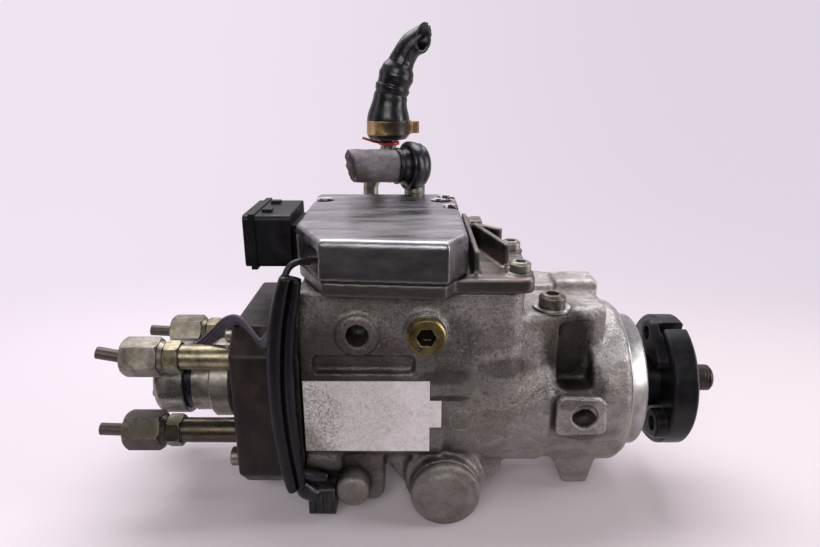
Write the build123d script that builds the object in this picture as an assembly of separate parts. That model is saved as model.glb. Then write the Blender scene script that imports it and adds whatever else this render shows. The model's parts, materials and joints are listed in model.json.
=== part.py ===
from build123d import *
import os
from math import atan2, cos, degrees, hypot, pi, radians, sin

# Diesel injection pump: a radial-piston distributor pump with an electronic control unit on top.
# Millimetres. The origin is on the shaft axis, on the mounting flange face; X runs along the shaft
# towards the drive hub and Z is up. "near" is the -Y side and "far" the +Y side.

# ---- Clearances ----
seat_gap = 0.02  # a piece that is bolted, pressed or screwed into its seat
run_gap = 0.05  # radial clearance of a shaft, a piston or a valve in its bore
free_gap = 0.4  # pieces that pass one another without touching

# ---- Mounting flange and pilot ----
pilot_r = 34.0
pilot_x = 9.6
bell_r = 42.0
bell_t = 17.0
bell_round = 5.0

# ---- Mounting ears, tapped from their front faces ----
ear_x0 = -33.0
ear_face_x = -12.0
ear_ring_r = 47.0
ear_angles = (84.5, 255.0, 325.0)
ear_hole_r = 4.25
ear_hole_depths = (18.0, 16.5, 15.0)
ear_r = 9.0
ear_top_z = 56.0
ear_top_y0 = -5.0
ear_top_y1 = 14.0
foot_z = -53.3
foot_rear_x = -25.0

# ---- Housing castings ----
rear_x = -157.0
barrel_r = 41.0
side_stand = 2.0
side_y = barrel_r + side_stand
top_z = 63.3
skirt_z = -24.0
plate_wall_x = -91.0
upper_end_x = -54.0
shoulder_y0 = 39.0
shoulder_y1 = 26.5
shoulder_z = 50.2
shoulder_end_x = -13.0
step_x0 = -46.0
step_y0 = -3.0
step_y1 = 16.0
step_z = 53.0
chamber_x = -72.0
pump_bore_x = -38.0
bearing_r = 13.0
bearing_x = -4.0
seal_r = 20.0
seal_x = 8.6
seal_t = 7.0

# ---- Side features ----
tapped_boss_x = -130.0
tapped_boss_z = 43.3
tapped_boss_r = 10.0
boss_rise = 2.6
tapped_hole_r = 5.15
tapped_hole_depth = 15.0
plug_x = -99.0
plug_z = 44.8
plug_head_r = 8.9
plug_head_t = 3.6
plug_thread_r = 7.0
plug_thread_len = 11.0
plug_key_af = 8.0
plug_washer_r = 9.6
plug_washer_t = 1.2
groove_x0 = -151.0
groove_x1 = -104.0
groove_z0 = 23.6
groove_z1 = 32.3
groove_depth = 3.5
bracket_boss_x = -24.0
bracket_boss_z = -1.0
bracket_boss_r = 11.4
bracket_face_y = -side_y
bracket_hole_r = 5.9
bracket_hole_depth = 18.0
pocket_x0 = -36.5
pocket_x1 = -20.0
pocket_y = -27.0
pocket_z0 = 13.0
pocket_z1 = 45.0

# ---- Type plate ----
plate_x0 = -156.0
plate_x1 = -97.0
plate_z0 = -17.0
plate_z1 = 20.0
plate_t = 0.8
plate_tab_x = 5.5
plate_tab_z0 = -4.0
plate_tab_z1 = 9.8

# ---- Lock bolt on the shoulder ----
lock_x = -39.3
lock_y = -26.0
lock_head_r = 6.3
lock_head_h = 6.2
lock_thread_r = 4.0
lock_thread_len = 14.0
lock_key_af = 6.0
lock_seat_r = 10.2
lock_seat_shift = 1.2
lock_seat_depth = 0.7
lock_washer_r = 8.6
lock_washer_t = 1.5

# ---- Drive shaft line ----
shaft_end_x = 54.0
thread_r = 6.8
thread_len = 17.0
taper_x0 = 19.0
taper_x1 = 36.0
taper_small_r = 8.4
journal_r = 10.0
rotor_seat_r = 10.5
collar_r = 13.0
collar_x = -55.5
drive_body_r = 19.5
drive_body_x = -66.0
feed_hole_r = 1.5

# ---- Drive hub ----
hub_r = 33.9
hub_x0 = 22.0
hub_x1 = 34.0
hub_lug_r = 7.5
hub_lug_ring_r = hub_r - hub_lug_r
hub_lug_x = 17.0
hub_tail_r = 3.8
hub_tail_ring_r = 23.9
hub_tail_turn = 41.0
hub_hole_r = 3.9
hub_lug_angles = (93.0, 213.0, 333.0)
hub_boss_r = 15.0
hub_boss_x = 11.5
hub_notch_angle = 103.0
hub_notch_w = 5.6
hub_notch_depth = 10.0
hub_recess_r = 19.0
hub_recess_depth = 3.0
key_w = 4.0
key_h = 3.0
key_len = 12.0
key_sink = 2.2

# ---- Vane supply pump ----
vane_ring_r = 27.5
vane_ring_bore_r = 19.4
vane_ring_offset = 1.3
vane_ring_t = 14.0
vane_rotor_r = 17.2
vane_t = 2.2
vane_len = 5.2
vane_count = 4
port_plate_t = 4.0
port_plate_bore_r = 14.0

# ---- High-pressure stage ----
cam_x = -89.0
cam_half_w = 11.0
cam_body_gap = 1.1
cam_lobe_r = drive_body_r + cam_body_gap
cam_rise = 2.9
cam_valley_r = cam_lobe_r + cam_rise
cam_wall = 4.5
cam_r = cam_valley_r + cam_wall
cam_fit = 0.05
chamber_r = cam_r + cam_fit
cam_lobes = 4
cam_valley_half = 21.0
cam_ramp = 14.0
roller_r = 4.0
roller_len = 12.0
roller_play = 0.2
roller_ring_r = cam_lobe_r - roller_r - roller_play
shoe_half_len = 7.0
shoe_half_w = 6.0
shoe_inner_r = 10.6
plunger_r = 3.25
plunger_inner_r = 3.2
plunger_stroke = cam_rise - 0.1
drive_body_end_x = -101.0

# ---- Timing device ----
timing_z = -39.8
timing_r = 17.0
timing_bore_r = 9.5
timing_half_y = 43.0
timing_cap_t = 5.0
timing_cap_disc_r = 12.5
timing_cap_disc_t = 1.4
timing_spigot_len = 13.0
piston_half_len = 17.0
cam_turn_deg = 8.0
ball_r = 3.9
ball_neck_r = 2.3
ball_stem_r = 3.0
spring_wire_r = 0.9
spring_coil_r = 6.4
spring_turns = 4

timing_valve_x = -134.5
timing_valve_r = 7.0
timing_valve_head_r = 8.2
timing_valve_seat_y = -36.0
timing_valve_face_y = -46.0
timing_valve_len = 20.0

# ---- Angle sensor ----
sensor_wheel_r = 23.6
sensor_wheel_t = 2.0
sensor_tooth_h = 1.6
sensor_teeth = 36
sensor_half_w = 4.0
sensor_rise = 3.2

# ---- Distributor ----
head_t = 33.0
head_half = 43.0
head_chamfer = 11.5
head_spigot_r = chamber_r - cam_fit
head_spigot_len = 10.0
sleeve_r = 15.0
sleeve_x = -112.0
dist_rotor_r = 8.0
dist_rotor_end_x = -172.0
dist_flange_r = 12.0
dist_flange_t = 6.0
head_screw_ring_r = 44.0
head_screw_first = 35.0
head_screw_head_r = 4.6
head_screw_head_h = 4.4
head_screw_r = 3.0
head_screw_len = 46.0
head_key_af = 4.6

# ---- Delivery outlets ----
outlet_ring_r = 36.5
outlet_angles = (138.0, 198.0, 318.0, 18.0)
holder_r = 6.0
holder_len = 27.0
holder_hex_af = 14.0
holder_hex_t = 7.2
holder_thread_r = 5.9
holder_thread_len = 12.0
holder_root = 8.0
holder_bore_r = 3.2
holder_port_r = 1.6
nut_af = 17.0
nut_len = 17.8
nut_gap = 2.4
nut_cone_len = 2.6
pipe_r = 3.0
pipe_bore_r = 1.0
pipe_len = 13.5
pipe_collar_r = 4.6
pipe_collar_t = 3.0
delivery_valve_len = 12.0
delivery_travel = 1.2

# ---- Solenoid valve in the head ----
valve_body_r = 17.5
valve_foot_r = 20.5
valve_foot_x0 = -198.0
valve_foot_x1 = -209.0
valve_body_end_x = -218.5
valve_cap_r = 19.0
valve_cap_x = -222.5
valve_cap_end_x = -238.5
valve_cap_round = 4.0
valve_ring_r = 18.2
valve_nose_len = 16.0
needle_r = 3.0
needle_tip_x = -179.0
armature_x = -213.3
armature_r = 8.0
armature_t = 4.0
coil_r = 14.2
coil_bore_r = 4.0
coil_len = 12.3

# ---- Electronic control unit ----
ecu_x0 = -160.0
ecu_x1 = -80.5
ecu_y0 = -52.0
ecu_y1 = 56.0
ecu_z = 89.0
ecu_base_t = 6.7
ecu_gasket_t = 0.7
ecu_wall = 3.0
ecu_roof = 3.0
ecu_near_left = (15.0, 33.0)
ecu_near_right = (9.5, 14.0)
ecu_near_slant = 2.2
ecu_far_cut = 4.0
ecu_lip_z = 84.0
ecu_screw_z = 80.0
ecu_round = 3.0
tail_x = -51.0
tail_y0 = -45.0
tail_y1 = 12.0
rib_z = 81.0
board_z = 75.0
board_t = 1.6
plug_box_x0 = -187.0
plug_box_x1 = -164.0
plug_box_y0 = -10.0
plug_box_y1 = 30.0
plug_box_z0 = 64.5
plug_box_z1 = 90.5
plug_box_wall = 2.4

# ---- Wiring ----
sheath_y = -side_y - free_gap
sheath_t = 6.0
sheath_w = 10.5
sheath_top_z = 72.0
sheath_end_z = -36.0
sheath_x_top = -160.0
sheath_bow = 5.5
ribbon_w = 6.0
ribbon_t = 1.8
lead_r = 1.4

# ---- Fuel connections on the far side ----
supply_x = -104.0
supply_pipe_r = 6.0
supply_pipe_z = 104.0
supply_bend_r = 12.0
supply_cuff_r = 14.0
supply_cuff_x0 = -117.0
supply_cuff_x1 = -101.5
return_x = -119.5
return_foot_x = -131.0
return_root_z = 48.0
return_lean_z = 90.0
return_pipe_r = 4.6
return_sleeve_z0 = 117.5
return_sleeve_z1 = 141.0
return_sleeve_r = 12.6
return_sleeve_top_r = 9.8
clamp_t = 0.8
clamp_z0 = 120.5
clamp_z1 = 128.5
fuel_y = 62.0
supply_hose_r = 9.3
return_hose_r = 7.2
return_y = fuel_y + supply_hose_r + return_hose_r + 2.0


def place_x(x, y=0.0, z=0.0):
    """A plane whose normal is +X and whose own axes are Y and Z."""
    return Plane(origin=(x, y, z), x_dir=(0, 1, 0), z_dir=(1, 0, 0))


def place_y(x, y, z):
    """A plane whose normal is +Y and whose own axes are X and -Z."""
    return Plane(origin=(x, y, z), x_dir=(1, 0, 0), z_dir=(0, 1, 0))


def rod_x(x0, x1, r, y=0.0, z=0.0):
    return extrude(place_x(min(x0, x1), y, z) * Circle(r), abs(x1 - x0))


def rod_y(y0, y1, r, x=0.0, z=0.0):
    return extrude(place_y(x, min(y0, y1), z) * Circle(r), abs(y1 - y0))


def rod_z(z0, z1, r, x=0.0, y=0.0):
    return extrude(Plane.XY.offset(min(z0, z1)) * Pos(x, y) * Circle(r), abs(z1 - z0))


def cone_x(x0, x1, r0, r1, y=0.0, z=0.0):
    """A cone frustum from radius r0 at x0 to radius r1 at x1, with x0 < x1."""
    return loft([place_x(x0, y, z) * Circle(r0), place_x(x1, y, z) * Circle(r1)])


def tube_x(x0, x1, r_out, r_in, y=0.0, z=0.0):
    return rod_x(x0, x1, r_out, y, z) - rod_x(x0, x1, r_in, y, z)


def block(x0, x1, y0, y1, z0, z1):
    return Pos((x0 + x1) / 2, (y0 + y1) / 2, (z0 + z1) / 2) * Box(x1 - x0, y1 - y0, z1 - z0)


def hex_face(af):
    return RegularPolygon(af / 2 / cos(radians(30)), 6)


def hex_x(x0, x1, af, y, z, turn=0.0):
    """A hexagon bar along X with both ends chamfered like a nut."""
    bar = extrude(place_x(min(x0, x1), y, z) * Rot(0, 0, turn) * hex_face(af), abs(x1 - x0))
    corner_r = af / 2 / cos(radians(30))
    turned = rod_x(x0, x1, corner_r, y, z)
    turned = chamfer(turned.edges().filter_by(GeomType.CIRCLE), (corner_r - af / 2) * 0.9)
    return bar & turned


def on_ring(ring_r, angle):
    """The Y and Z of a point on a circle about the shaft axis, with the angle from +Y towards +Z."""
    return ring_r * cos(radians(angle)), ring_r * sin(radians(angle))


def write(name, shape):
    if isinstance(shape, (list, tuple)):
        shape = Compound(children=list(shape))
    shape.label = name
    export_step(shape, f"parts/{name}.step")


head_x = rear_x - head_t
ecu_base_top = top_z + ecu_base_t
ecu_cover_z = ecu_base_top + ecu_gasket_t
outlets = [on_ring(outlet_ring_r, a) for a in outlet_angles]
head_screw_spots = [on_ring(head_screw_ring_r, head_screw_first + 90 * n) for n in range(4)]


# ---------------------------------------------------------------- housing

def housing_shell():
    """The outside of the cast body before anything is bored."""
    shell = rod_x(rear_x, -bell_t, barrel_r)
    swell = rod_x(plate_wall_x, -38.0, barrel_r - 1.0, -4.0)
    shell += fillet(swell.edges(), 5.0)
    wall = block(rear_x, plate_wall_x, -side_y, side_y, skirt_z, top_z)
    shell += fillet(wall.edges().filter_by(Axis.X).group_by(Axis.Z)[0], 11.0)
    upper = block(plate_wall_x, upper_end_x, -side_y, side_y, 6.0, top_z)
    shell += fillet(upper.edges().filter_by(Axis.Z).group_by(Axis.X)[-1], 9.0)
    shell += housing_shoulder()
    bell = rod_x(-bell_t - 2, 0, bell_r)
    shell += fillet(bell.edges().group_by(Axis.X)[-1], bell_round)
    shell += chamfer(rod_x(-1.0, pilot_x, pilot_r).edges().group_by(Axis.X)[-1], 1.0)
    return shell


def housing_shoulder():
    """The raised shoulder between the control unit and the bell, with its step and its front ear."""
    rear = upper_end_x - 12
    plan = Polyline((rear, -shoulder_y0), (upper_end_x, -shoulder_y0), (shoulder_end_x, -shoulder_y1),
                    (shoulder_end_x, shoulder_y1), (upper_end_x, shoulder_y0), (rear, shoulder_y0),
                    close=True)
    body = extrude(Plane.XY * make_face(plan), shoulder_z)
    body = fillet(body.edges().group_by(Axis.Z)[-1].filter_by(lambda e: abs(e.center().Y) > 20), 3.5)
    step = block(step_x0, ear_x0 + 1, step_y0, step_y1, 40.0, step_z)
    body += fillet(step.edges().group_by(Axis.Z)[-1], 1.5)
    ear = block(ear_x0, ear_face_x, ear_top_y0, ear_top_y1, 30.0, ear_top_z)
    return body + fillet(ear.edges().filter_by(Axis.X).group_by(Axis.Z)[-1], 3.0)


def housing_ears():
    """The two lower mounting ears: a tapered foot on the near side and a round boss on the far side."""
    near = Polyline((-38.0, -12.0), (-18.0, foot_z), (-5.0, foot_z), (-5.0, -30.0), (-20.0, -12.0),
                    close=True)
    foot = extrude(place_x(ear_x0) * make_face(near), ear_face_x - ear_x0)
    front = Polyline((ear_x0, -5.0), (ear_x0, -34.0), (foot_rear_x, foot_z), (ear_face_x, foot_z),
                     (ear_face_x, -5.0), close=True)
    foot = foot & extrude(Plane.XZ.offset(45.0) * make_face(front), -45.0)
    y, z = on_ring(ear_ring_r, ear_angles[2])
    boss = rod_x(ear_x0, ear_face_x, ear_r, y, z)
    boss = chamfer(boss.edges().group_by(Axis.X)[0], 3.0)
    web = extrude(place_x(ear_x0 + 3.0) * Rot(0, 0, ear_angles[2]) * Pos(ear_ring_r / 2, 0)
                  * Rectangle(ear_ring_r, 2 * ear_r), ear_face_x - ear_x0 - 3.0)
    return [foot, boss + web]


def housing_side_bosses():
    bosses = []
    for x, z in ((tapped_boss_x, tapped_boss_z), (plug_x, plug_z)):
        boss = rod_y(-side_y - boss_rise, -side_y + 6, tapped_boss_r, x, z)
        bosses.append(chamfer(boss.edges().group_by(Axis.Y)[0], 0.8))
    pad = block(-36.0, shoulder_end_x, -39.5, -20.0, -13.5, 11.0)
    bosses.append(fillet(pad.edges().filter_by(Axis.Y), 4.0))
    boss = rod_y(bracket_face_y, -20.0, bracket_boss_r, bracket_boss_x, bracket_boss_z)
    bosses.append(chamfer(boss.edges().group_by(Axis.Y)[0], 1.2))
    bosses.append(block(-103.0, -96.6, -side_y - 1.0, -side_y + 2, 25.0, 34.0))
    return bosses


def housing_timing():
    """The cross cylinder of the timing device with its webs and the seat of the timing valve."""
    timing = rod_y(-timing_half_y, timing_half_y, timing_r, cam_x, timing_z)
    collar = rod_y(-timing_half_y + 6, timing_half_y - 6, timing_r + 3.0, cam_x, timing_z + 2.0)
    timing += collar
    timing += block(cam_x - timing_r, cam_x + timing_r, -30.0, 30.0, timing_z, -20.0)
    web = Polyline((cam_x + 12.0, -52.0), (-60.0, -38.0), (-60.0, -20.0), (cam_x + 12.0, -20.0), close=True)
    timing += extrude(Plane.XZ.offset(30.0) * make_face(web), -8.0)
    brace = Polyline((-121.0, -30.0), (-106.0, -51.0), (-98.0, -51.0), (-98.0, -20.0), (-121.0, -20.0),
                     close=True)
    timing += extrude(Plane.XZ.offset(28.0) * make_face(brace), -6.0)
    seat = block(-150.0, -119.0, timing_valve_seat_y, 12.0, timing_z - 11.0, -18.0)
    timing += fillet(seat.edges().filter_by(Axis.Y), 6.0)
    return timing


def housing_head_bosses():
    bosses = []
    for y, z in head_screw_spots:
        boss = rod_x(rear_x, rear_x + 18.0, 7.2, y, z)
        bosses.append(fillet(boss.edges().group_by(Axis.X)[-1], 3.0))
    return bosses


def housing_bores():
    """Everything that is machined or cored out of the housing."""
    cam_turn = radians(cam_turn_deg)
    slot_half = (ball_neck_r + 1.0) + chamber_r * sin(cam_turn) * 1.12
    bores = [
        rod_x(rear_x, chamber_x, chamber_r),
        rod_x(chamber_x, pump_bore_x, vane_ring_r + seat_gap),
        rod_x(pump_bore_x, bearing_x, bearing_r + seat_gap),
        rod_x(bearing_x, seal_x - seal_t, 16.0),
        rod_x(seal_x - seal_t, pilot_x, seal_r + seat_gap),
        rod_y(-timing_half_y, timing_half_y, timing_bore_r + run_gap, cam_x, timing_z),
        block(cam_x - 6.0, cam_x + 6.0, -slot_half, slot_half, timing_z + 6.0, -chamber_r + 3.0),
        rod_y(-side_y - boss_rise, -side_y - boss_rise + tapped_hole_depth, tapped_hole_r,
              tapped_boss_x, tapped_boss_z),
        rod_y(-side_y - boss_rise, -side_y - boss_rise + plug_thread_len + 2, plug_thread_r + seat_gap,
              plug_x, plug_z),
        rod_y(bracket_face_y, bracket_face_y + bracket_hole_depth, bracket_hole_r, bracket_boss_x,
              bracket_boss_z),
        block(groove_x0, groove_x1, -side_y - 1, -side_y + groove_depth, groove_z0, groove_z1),
        rod_z(shoulder_z - lock_seat_depth, shoulder_z + 1, lock_seat_r, lock_x + lock_seat_shift, lock_y),
        rod_z(shoulder_z - lock_seat_depth - lock_thread_len - 1, shoulder_z, lock_thread_r + seat_gap,
              lock_x, lock_y),
        rod_y(timing_valve_seat_y - 1, timing_valve_seat_y + timing_valve_len + 1, timing_valve_r + seat_gap,
              timing_valve_x, timing_z),
    ]
    for angle, depth in zip(ear_angles, ear_hole_depths):
        y, z = on_ring(ear_ring_r, angle)
        bores.append(rod_x(ear_face_x - depth, ear_face_x + 1, ear_hole_r, y, z))
    for y, z in head_screw_spots:
        bores.append(rod_x(rear_x, rear_x + head_screw_len - head_t + 1.5, head_screw_r + seat_gap, y, z))
    pocket = block(pocket_x0, pocket_x1, -70.0, pocket_y, pocket_z0, pocket_z1)
    bores.append(fillet(pocket.edges().filter_by(Axis.Y), 3.0))
    return bores


def pump_housing():
    solid = housing_shell() + housing_ears() + housing_side_bosses()
    solid += [housing_timing()] + housing_head_bosses()
    return solid - housing_bores()


# ---------------------------------------------------------------- shaft line

def drive_shaft():
    """Shaft, taper, threaded end and the slotted body that carries the plungers."""
    shaft = rod_x(shaft_end_x - thread_len, shaft_end_x, thread_r)
    shaft = chamfer(shaft.edges().group_by(Axis.X)[-1], 1.2)
    shaft += rod_x(taper_x1, shaft_end_x - thread_len, thread_r - 0.7)
    shaft += cone_x(taper_x0, taper_x1, journal_r, taper_small_r)
    shaft += rod_x(pump_bore_x, taper_x0, journal_r)
    shaft += rod_x(collar_x, pump_bore_x, rotor_seat_r)
    shaft += rod_x(drive_body_x, collar_x, collar_r)
    body = chamfer(rod_x(drive_body_end_x, drive_body_x, drive_body_r).edges(), 0.8)
    cuts = [rod_x(drive_body_end_x, cam_x + 2.0, feed_hole_r)]
    cuts.append(rod_y(-drive_body_r, drive_body_r, plunger_r + run_gap, cam_x))
    for side in (-1, 1):
        slot_y = sorted((side * (shoe_inner_r - 0.3), side * (drive_body_r + 1)))
        cuts.append(block(cam_x - shoe_half_len - run_gap, cam_x + shoe_half_len + run_gap,
                          slot_y[0], slot_y[1], -shoe_half_w - run_gap, shoe_half_w + run_gap))
    return shaft + body - cuts - hub_key_slot()


def hub_key_slot():
    mid_x = (taper_x0 + taper_x1) / 2
    return block(mid_x - key_len / 2, mid_x + key_len / 2, -key_w / 2, key_w / 2,
                 key_floor_z(), key_floor_z() + key_h + 4)


def key_floor_z():
    return (journal_r + taper_small_r) / 2 - key_sink


def hub_key():
    mid_x = (taper_x0 + taper_x1) / 2
    return block(mid_x - key_len / 2 + seat_gap, mid_x + key_len / 2 - seat_gap, -key_w / 2 + seat_gap,
                 key_w / 2 - seat_gap, key_floor_z(), key_floor_z() + key_h)


def drive_hub():
    """The drive flange: a disc on a taper bore, three drilled lugs and a timing notch in the rim."""
    disc = chamfer(rod_x(hub_x0, hub_x1, hub_r).edges(), 1.0)
    hub = disc + rod_x(hub_boss_x, hub_x1, hub_boss_r)
    cuts = [cone_x(taper_x0 - 9, taper_x1 + 4, hub_bore_r(taper_x0 - 9), hub_bore_r(taper_x1 + 4))]
    for angle in hub_lug_angles:
        y, z = on_ring(hub_lug_ring_r, angle)
        hub += hub_lug(angle)
        cuts.append(rod_x(hub_lug_x - 1, hub_x1 + 1, hub_hole_r, y, z))
    notch = place_x(hub_x0 - 1) * Rot(0, 0, hub_notch_angle) * Pos(hub_r - hub_notch_depth / 2 + 1, 0)
    cuts.append(extrude(notch * Rectangle(hub_notch_depth + 2, hub_notch_w), hub_x1 - hub_x0 + 2))
    cuts.append(tube_x(hub_x1 - hub_recess_depth, hub_x1 + 1, hub_recess_r, thread_r + 6.7))
    keyway_z = key_floor_z() + key_h + free_gap
    cuts.append(block(hub_boss_x - 1, hub_x1 + 1, -key_w / 2 - seat_gap, key_w / 2 + seat_gap, 0, keyway_z))
    return hub - cuts


def hub_lug(angle):
    """A drop-shaped lug on the back of the hub, wide round its hole and narrow at its tail."""
    end = on_ring(hub_lug_ring_r, angle)
    tail = on_ring(hub_tail_ring_r, angle + hub_tail_turn)
    outline = make_hull([Pos(*end) * CenterArc((0, 0), hub_lug_r, 0, 360),
                         Pos(*tail) * CenterArc((0, 0), hub_tail_r, 0, 360)])
    lug = extrude(place_x(hub_lug_x) * outline, hub_x0 - hub_lug_x + 1)
    return chamfer(lug.edges().group_by(Axis.X)[0], 0.8)


def hub_bore_r(x):
    """Radius of the taper bore at x: the shaft's taper and the seat clearance."""
    slope = (taper_small_r - journal_r) / (taper_x1 - taper_x0)
    return journal_r + seat_gap + slope * (x - taper_x0) + (0.9 if x < taper_x0 else 0.0)


def front_bearing():
    return tube_x(pump_bore_x + 1, bearing_x - 1, bearing_r, journal_r + run_gap)


def shaft_seal():
    ring = tube_x(seal_x - seal_t, seal_x, seal_r, journal_r + 4.0)
    ring -= tube_x(seal_x - 2.2, seal_x + 1, seal_r - 2.0, journal_r + 6.0)
    lip = cone_x(seal_x - seal_t, seal_x - 1.0, journal_r + 4.5, journal_r + 1.0)
    lip -= rod_x(seal_x - seal_t - 1, seal_x, journal_r + run_gap)
    return ring + lip


# ---------------------------------------------------------------- vane supply pump

vane_ring_x0 = pump_bore_x - vane_ring_t
port_plate_x0 = vane_ring_x0 - port_plate_t


def vane_ring():
    ring = rod_x(vane_ring_x0, pump_bore_x, vane_ring_r)
    return ring - rod_x(vane_ring_x0 - 1, pump_bore_x + 1, vane_ring_bore_r, vane_ring_offset)


def port_plate():
    plate = tube_x(port_plate_x0, vane_ring_x0, vane_ring_r, port_plate_bore_r)
    ports = place_x(port_plate_x0 - 1) * PolarLocations(17.0, 2, 90)
    return plate - [extrude(spot * SlotOverall(9.0, 2.4), port_plate_t + 2) for spot in ports]


def vane_slots(clearance):
    """The radial slots of the vanes, or with no clearance the vanes themselves."""
    inner = vane_rotor_r - vane_len
    slots = []
    for n in range(vane_count):
        spot = place_x(vane_ring_x0 + run_gap - clearance) * Rot(0, 0, 45 + 360 / vane_count * n)
        length = vane_len - 0.1 + clearance
        face = spot * Pos(inner + 0.1 - clearance + length / 2 + clearance, 0)
        slots.append(extrude(face * Rectangle(length + clearance, vane_t + 2 * clearance),
                             vane_ring_t - 2 * run_gap + 2 * clearance))
    return slots


def vane_rotor():
    rotor = tube_x(vane_ring_x0 + run_gap, pump_bore_x - run_gap, vane_rotor_r, rotor_seat_r + seat_gap)
    return rotor - vane_slots(run_gap)


def vanes():
    return vane_slots(0.0)


# ---------------------------------------------------------------- high-pressure stage

def cam_track():
    """Inner outline of the cam ring: a valley every quarter turn, then a ramp, a lobe and a ramp."""
    pitch = 360.0 / cam_lobes
    lobe_half = pitch / 2 - cam_valley_half - cam_ramp
    edges = []
    for n in range(cam_lobes):
        mid = pitch * n
        valley_end = on_ring(cam_valley_r, mid + cam_valley_half)
        lobe_start = on_ring(cam_lobe_r, mid + pitch / 2 - lobe_half)
        lobe_end = on_ring(cam_lobe_r, mid + pitch / 2 + lobe_half)
        next_valley = on_ring(cam_valley_r, mid + pitch - cam_valley_half)
        edges.append(CenterArc((0, 0), cam_valley_r, mid - cam_valley_half, 2 * cam_valley_half))
        edges.append(CenterArc((0, 0), cam_lobe_r, mid + pitch / 2 - lobe_half, 2 * lobe_half))
        edges.append(ramp_curve(valley_end, lobe_start))
        edges.append(ramp_curve(lobe_end, next_valley))
    return make_face(edges)


def ramp_curve(start, end):
    """A ramp of the cam track that leaves and meets its arcs at right angles to their radii."""
    return Spline(start, end, tangents=((-start[1], start[0]), (-end[1], end[0])))


def cam_ring():
    ring = rod_x(cam_x - cam_half_w, cam_x + cam_half_w, cam_r)
    ring -= extrude(place_x(cam_x - cam_half_w - 1) * cam_track(), 2 * cam_half_w + 2)
    return ring - rod_z(-cam_r - 1, -cam_valley_r - 1.2, ball_stem_r + seat_gap, cam_x)


def cam_pin():
    pin = rod_z(-cam_r + 0.4, -cam_valley_r - 1.3, ball_stem_r, cam_x)
    pin += rod_z(timing_z, -cam_r + 0.4, ball_neck_r, cam_x)
    return pin + Pos(cam_x, 0, timing_z) * Sphere(ball_r)


def roller_shoe(side):
    shoe = block(cam_x - shoe_half_len, cam_x + shoe_half_len, shoe_inner_r, roller_ring_r + 1.2,
                 -shoe_half_w, shoe_half_w)
    cradle = rod_x(cam_x - roller_len / 2 - run_gap, cam_x + roller_len / 2 + run_gap, roller_r + run_gap,
                   roller_ring_r)
    shoe = shoe - cradle
    return shoe if side > 0 else mirror(shoe, Plane.XZ)


def roller(side):
    return rod_x(cam_x - roller_len / 2, cam_x + roller_len / 2, roller_r, side * roller_ring_r)


def plunger(side):
    rod = rod_y(plunger_inner_r, shoe_inner_r, plunger_r, cam_x)
    rod = chamfer(rod.edges().group_by(Axis.Y)[0], 0.4)
    return rod if side > 0 else mirror(rod, Plane.XZ)


# ---------------------------------------------------------------- timing device

def timing_piston():
    piston = rod_y(-piston_half_len, piston_half_len, timing_bore_r, cam_x, timing_z)
    piston = chamfer(piston.edges(), 0.6)
    cuts = [rod_z(timing_z - ball_r - 0.8, timing_z + timing_bore_r + 1, ball_r + run_gap, cam_x)]
    cuts.append(rod_z(timing_z + 3.2, timing_z + timing_bore_r + 1, ball_r + 1.6, cam_x))
    cuts.append(rod_y(piston_half_len - 3.0, piston_half_len + 1, spring_coil_r + 1.6, cam_x, timing_z))
    return piston - cuts


def timing_spring():
    start = piston_half_len - 3.0 + spring_wire_r
    end = timing_half_y - timing_spigot_len - spring_wire_r
    length = end - start
    coil = Helix(length / spring_turns, length, spring_coil_r, center=(cam_x, start, timing_z),
                 direction=(0, 1, 0))
    section = Plane(origin=coil @ 0, z_dir=coil % 0) * RegularPolygon(spring_wire_r, 6)
    return sweep(section, coil, is_frenet=True)


def timing_cover(side):
    """Threaded end cover of the timing cylinder: a spigot, a rim and a raised disc."""
    face_y = timing_half_y
    cover = rod_y(face_y - timing_spigot_len, face_y, timing_bore_r, cam_x, timing_z)
    rim = rod_y(face_y, face_y + timing_cap_t, timing_r, cam_x, timing_z)
    cover += chamfer(rim.edges().group_by(Axis.Y)[-1], 1.2)
    disc = rod_y(face_y + timing_cap_t, face_y + timing_cap_t + timing_cap_disc_t, timing_cap_disc_r, cam_x,
                 timing_z)
    cover += chamfer(disc.edges().group_by(Axis.Y)[-1], 0.8)
    return cover if side > 0 else mirror(cover, Plane.XZ)


def timing_valve():
    """The small solenoid valve that bleeds the timing piston's pressure."""
    seat = timing_valve_seat_y
    valve = rod_y(seat, seat + timing_valve_len, timing_valve_r, timing_valve_x, timing_z)
    head = rod_y(timing_valve_face_y, seat, timing_valve_head_r, timing_valve_x, timing_z)
    return valve + fillet(head.edges().group_by(Axis.Y)[0], 2.6)


def timing_connector():
    """The plug of the timing valve's lead, below the end of the cable sheath."""
    x1 = timing_valve_x - timing_valve_head_r - seat_gap
    shell = block(x1 - 13.0, x1, -46.5, timing_valve_seat_y, -52.0, -37.0)
    shell = fillet(shell.edges().filter_by(Axis.X), 1.6)
    ribs = [block(x1 - 11.5 + 4 * n, x1 - 10.0 + 4 * n, -47.5, -45.5, -50.0, -39.0) for n in range(3)]
    return shell + ribs


# ---------------------------------------------------------------- angle sensor

def sensor_wheel():
    wheel = tube_x(drive_body_x, drive_body_x + sensor_wheel_t, sensor_wheel_r - sensor_tooth_h,
                   collar_r + seat_gap)
    pitch = 360 / sensor_teeth
    gap_every = sensor_teeth // cam_lobes
    teeth = []
    for n in range(sensor_teeth):
        if n % gap_every:
            spot = place_x(drive_body_x) * Rot(0, 0, pitch * n)
            tooth = spot * Pos(sensor_wheel_r - sensor_tooth_h, 0) * Rectangle(2 * sensor_tooth_h, 2.0)
            teeth.append(extrude(tooth, sensor_wheel_t))
    return wheel + teeth


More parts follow.
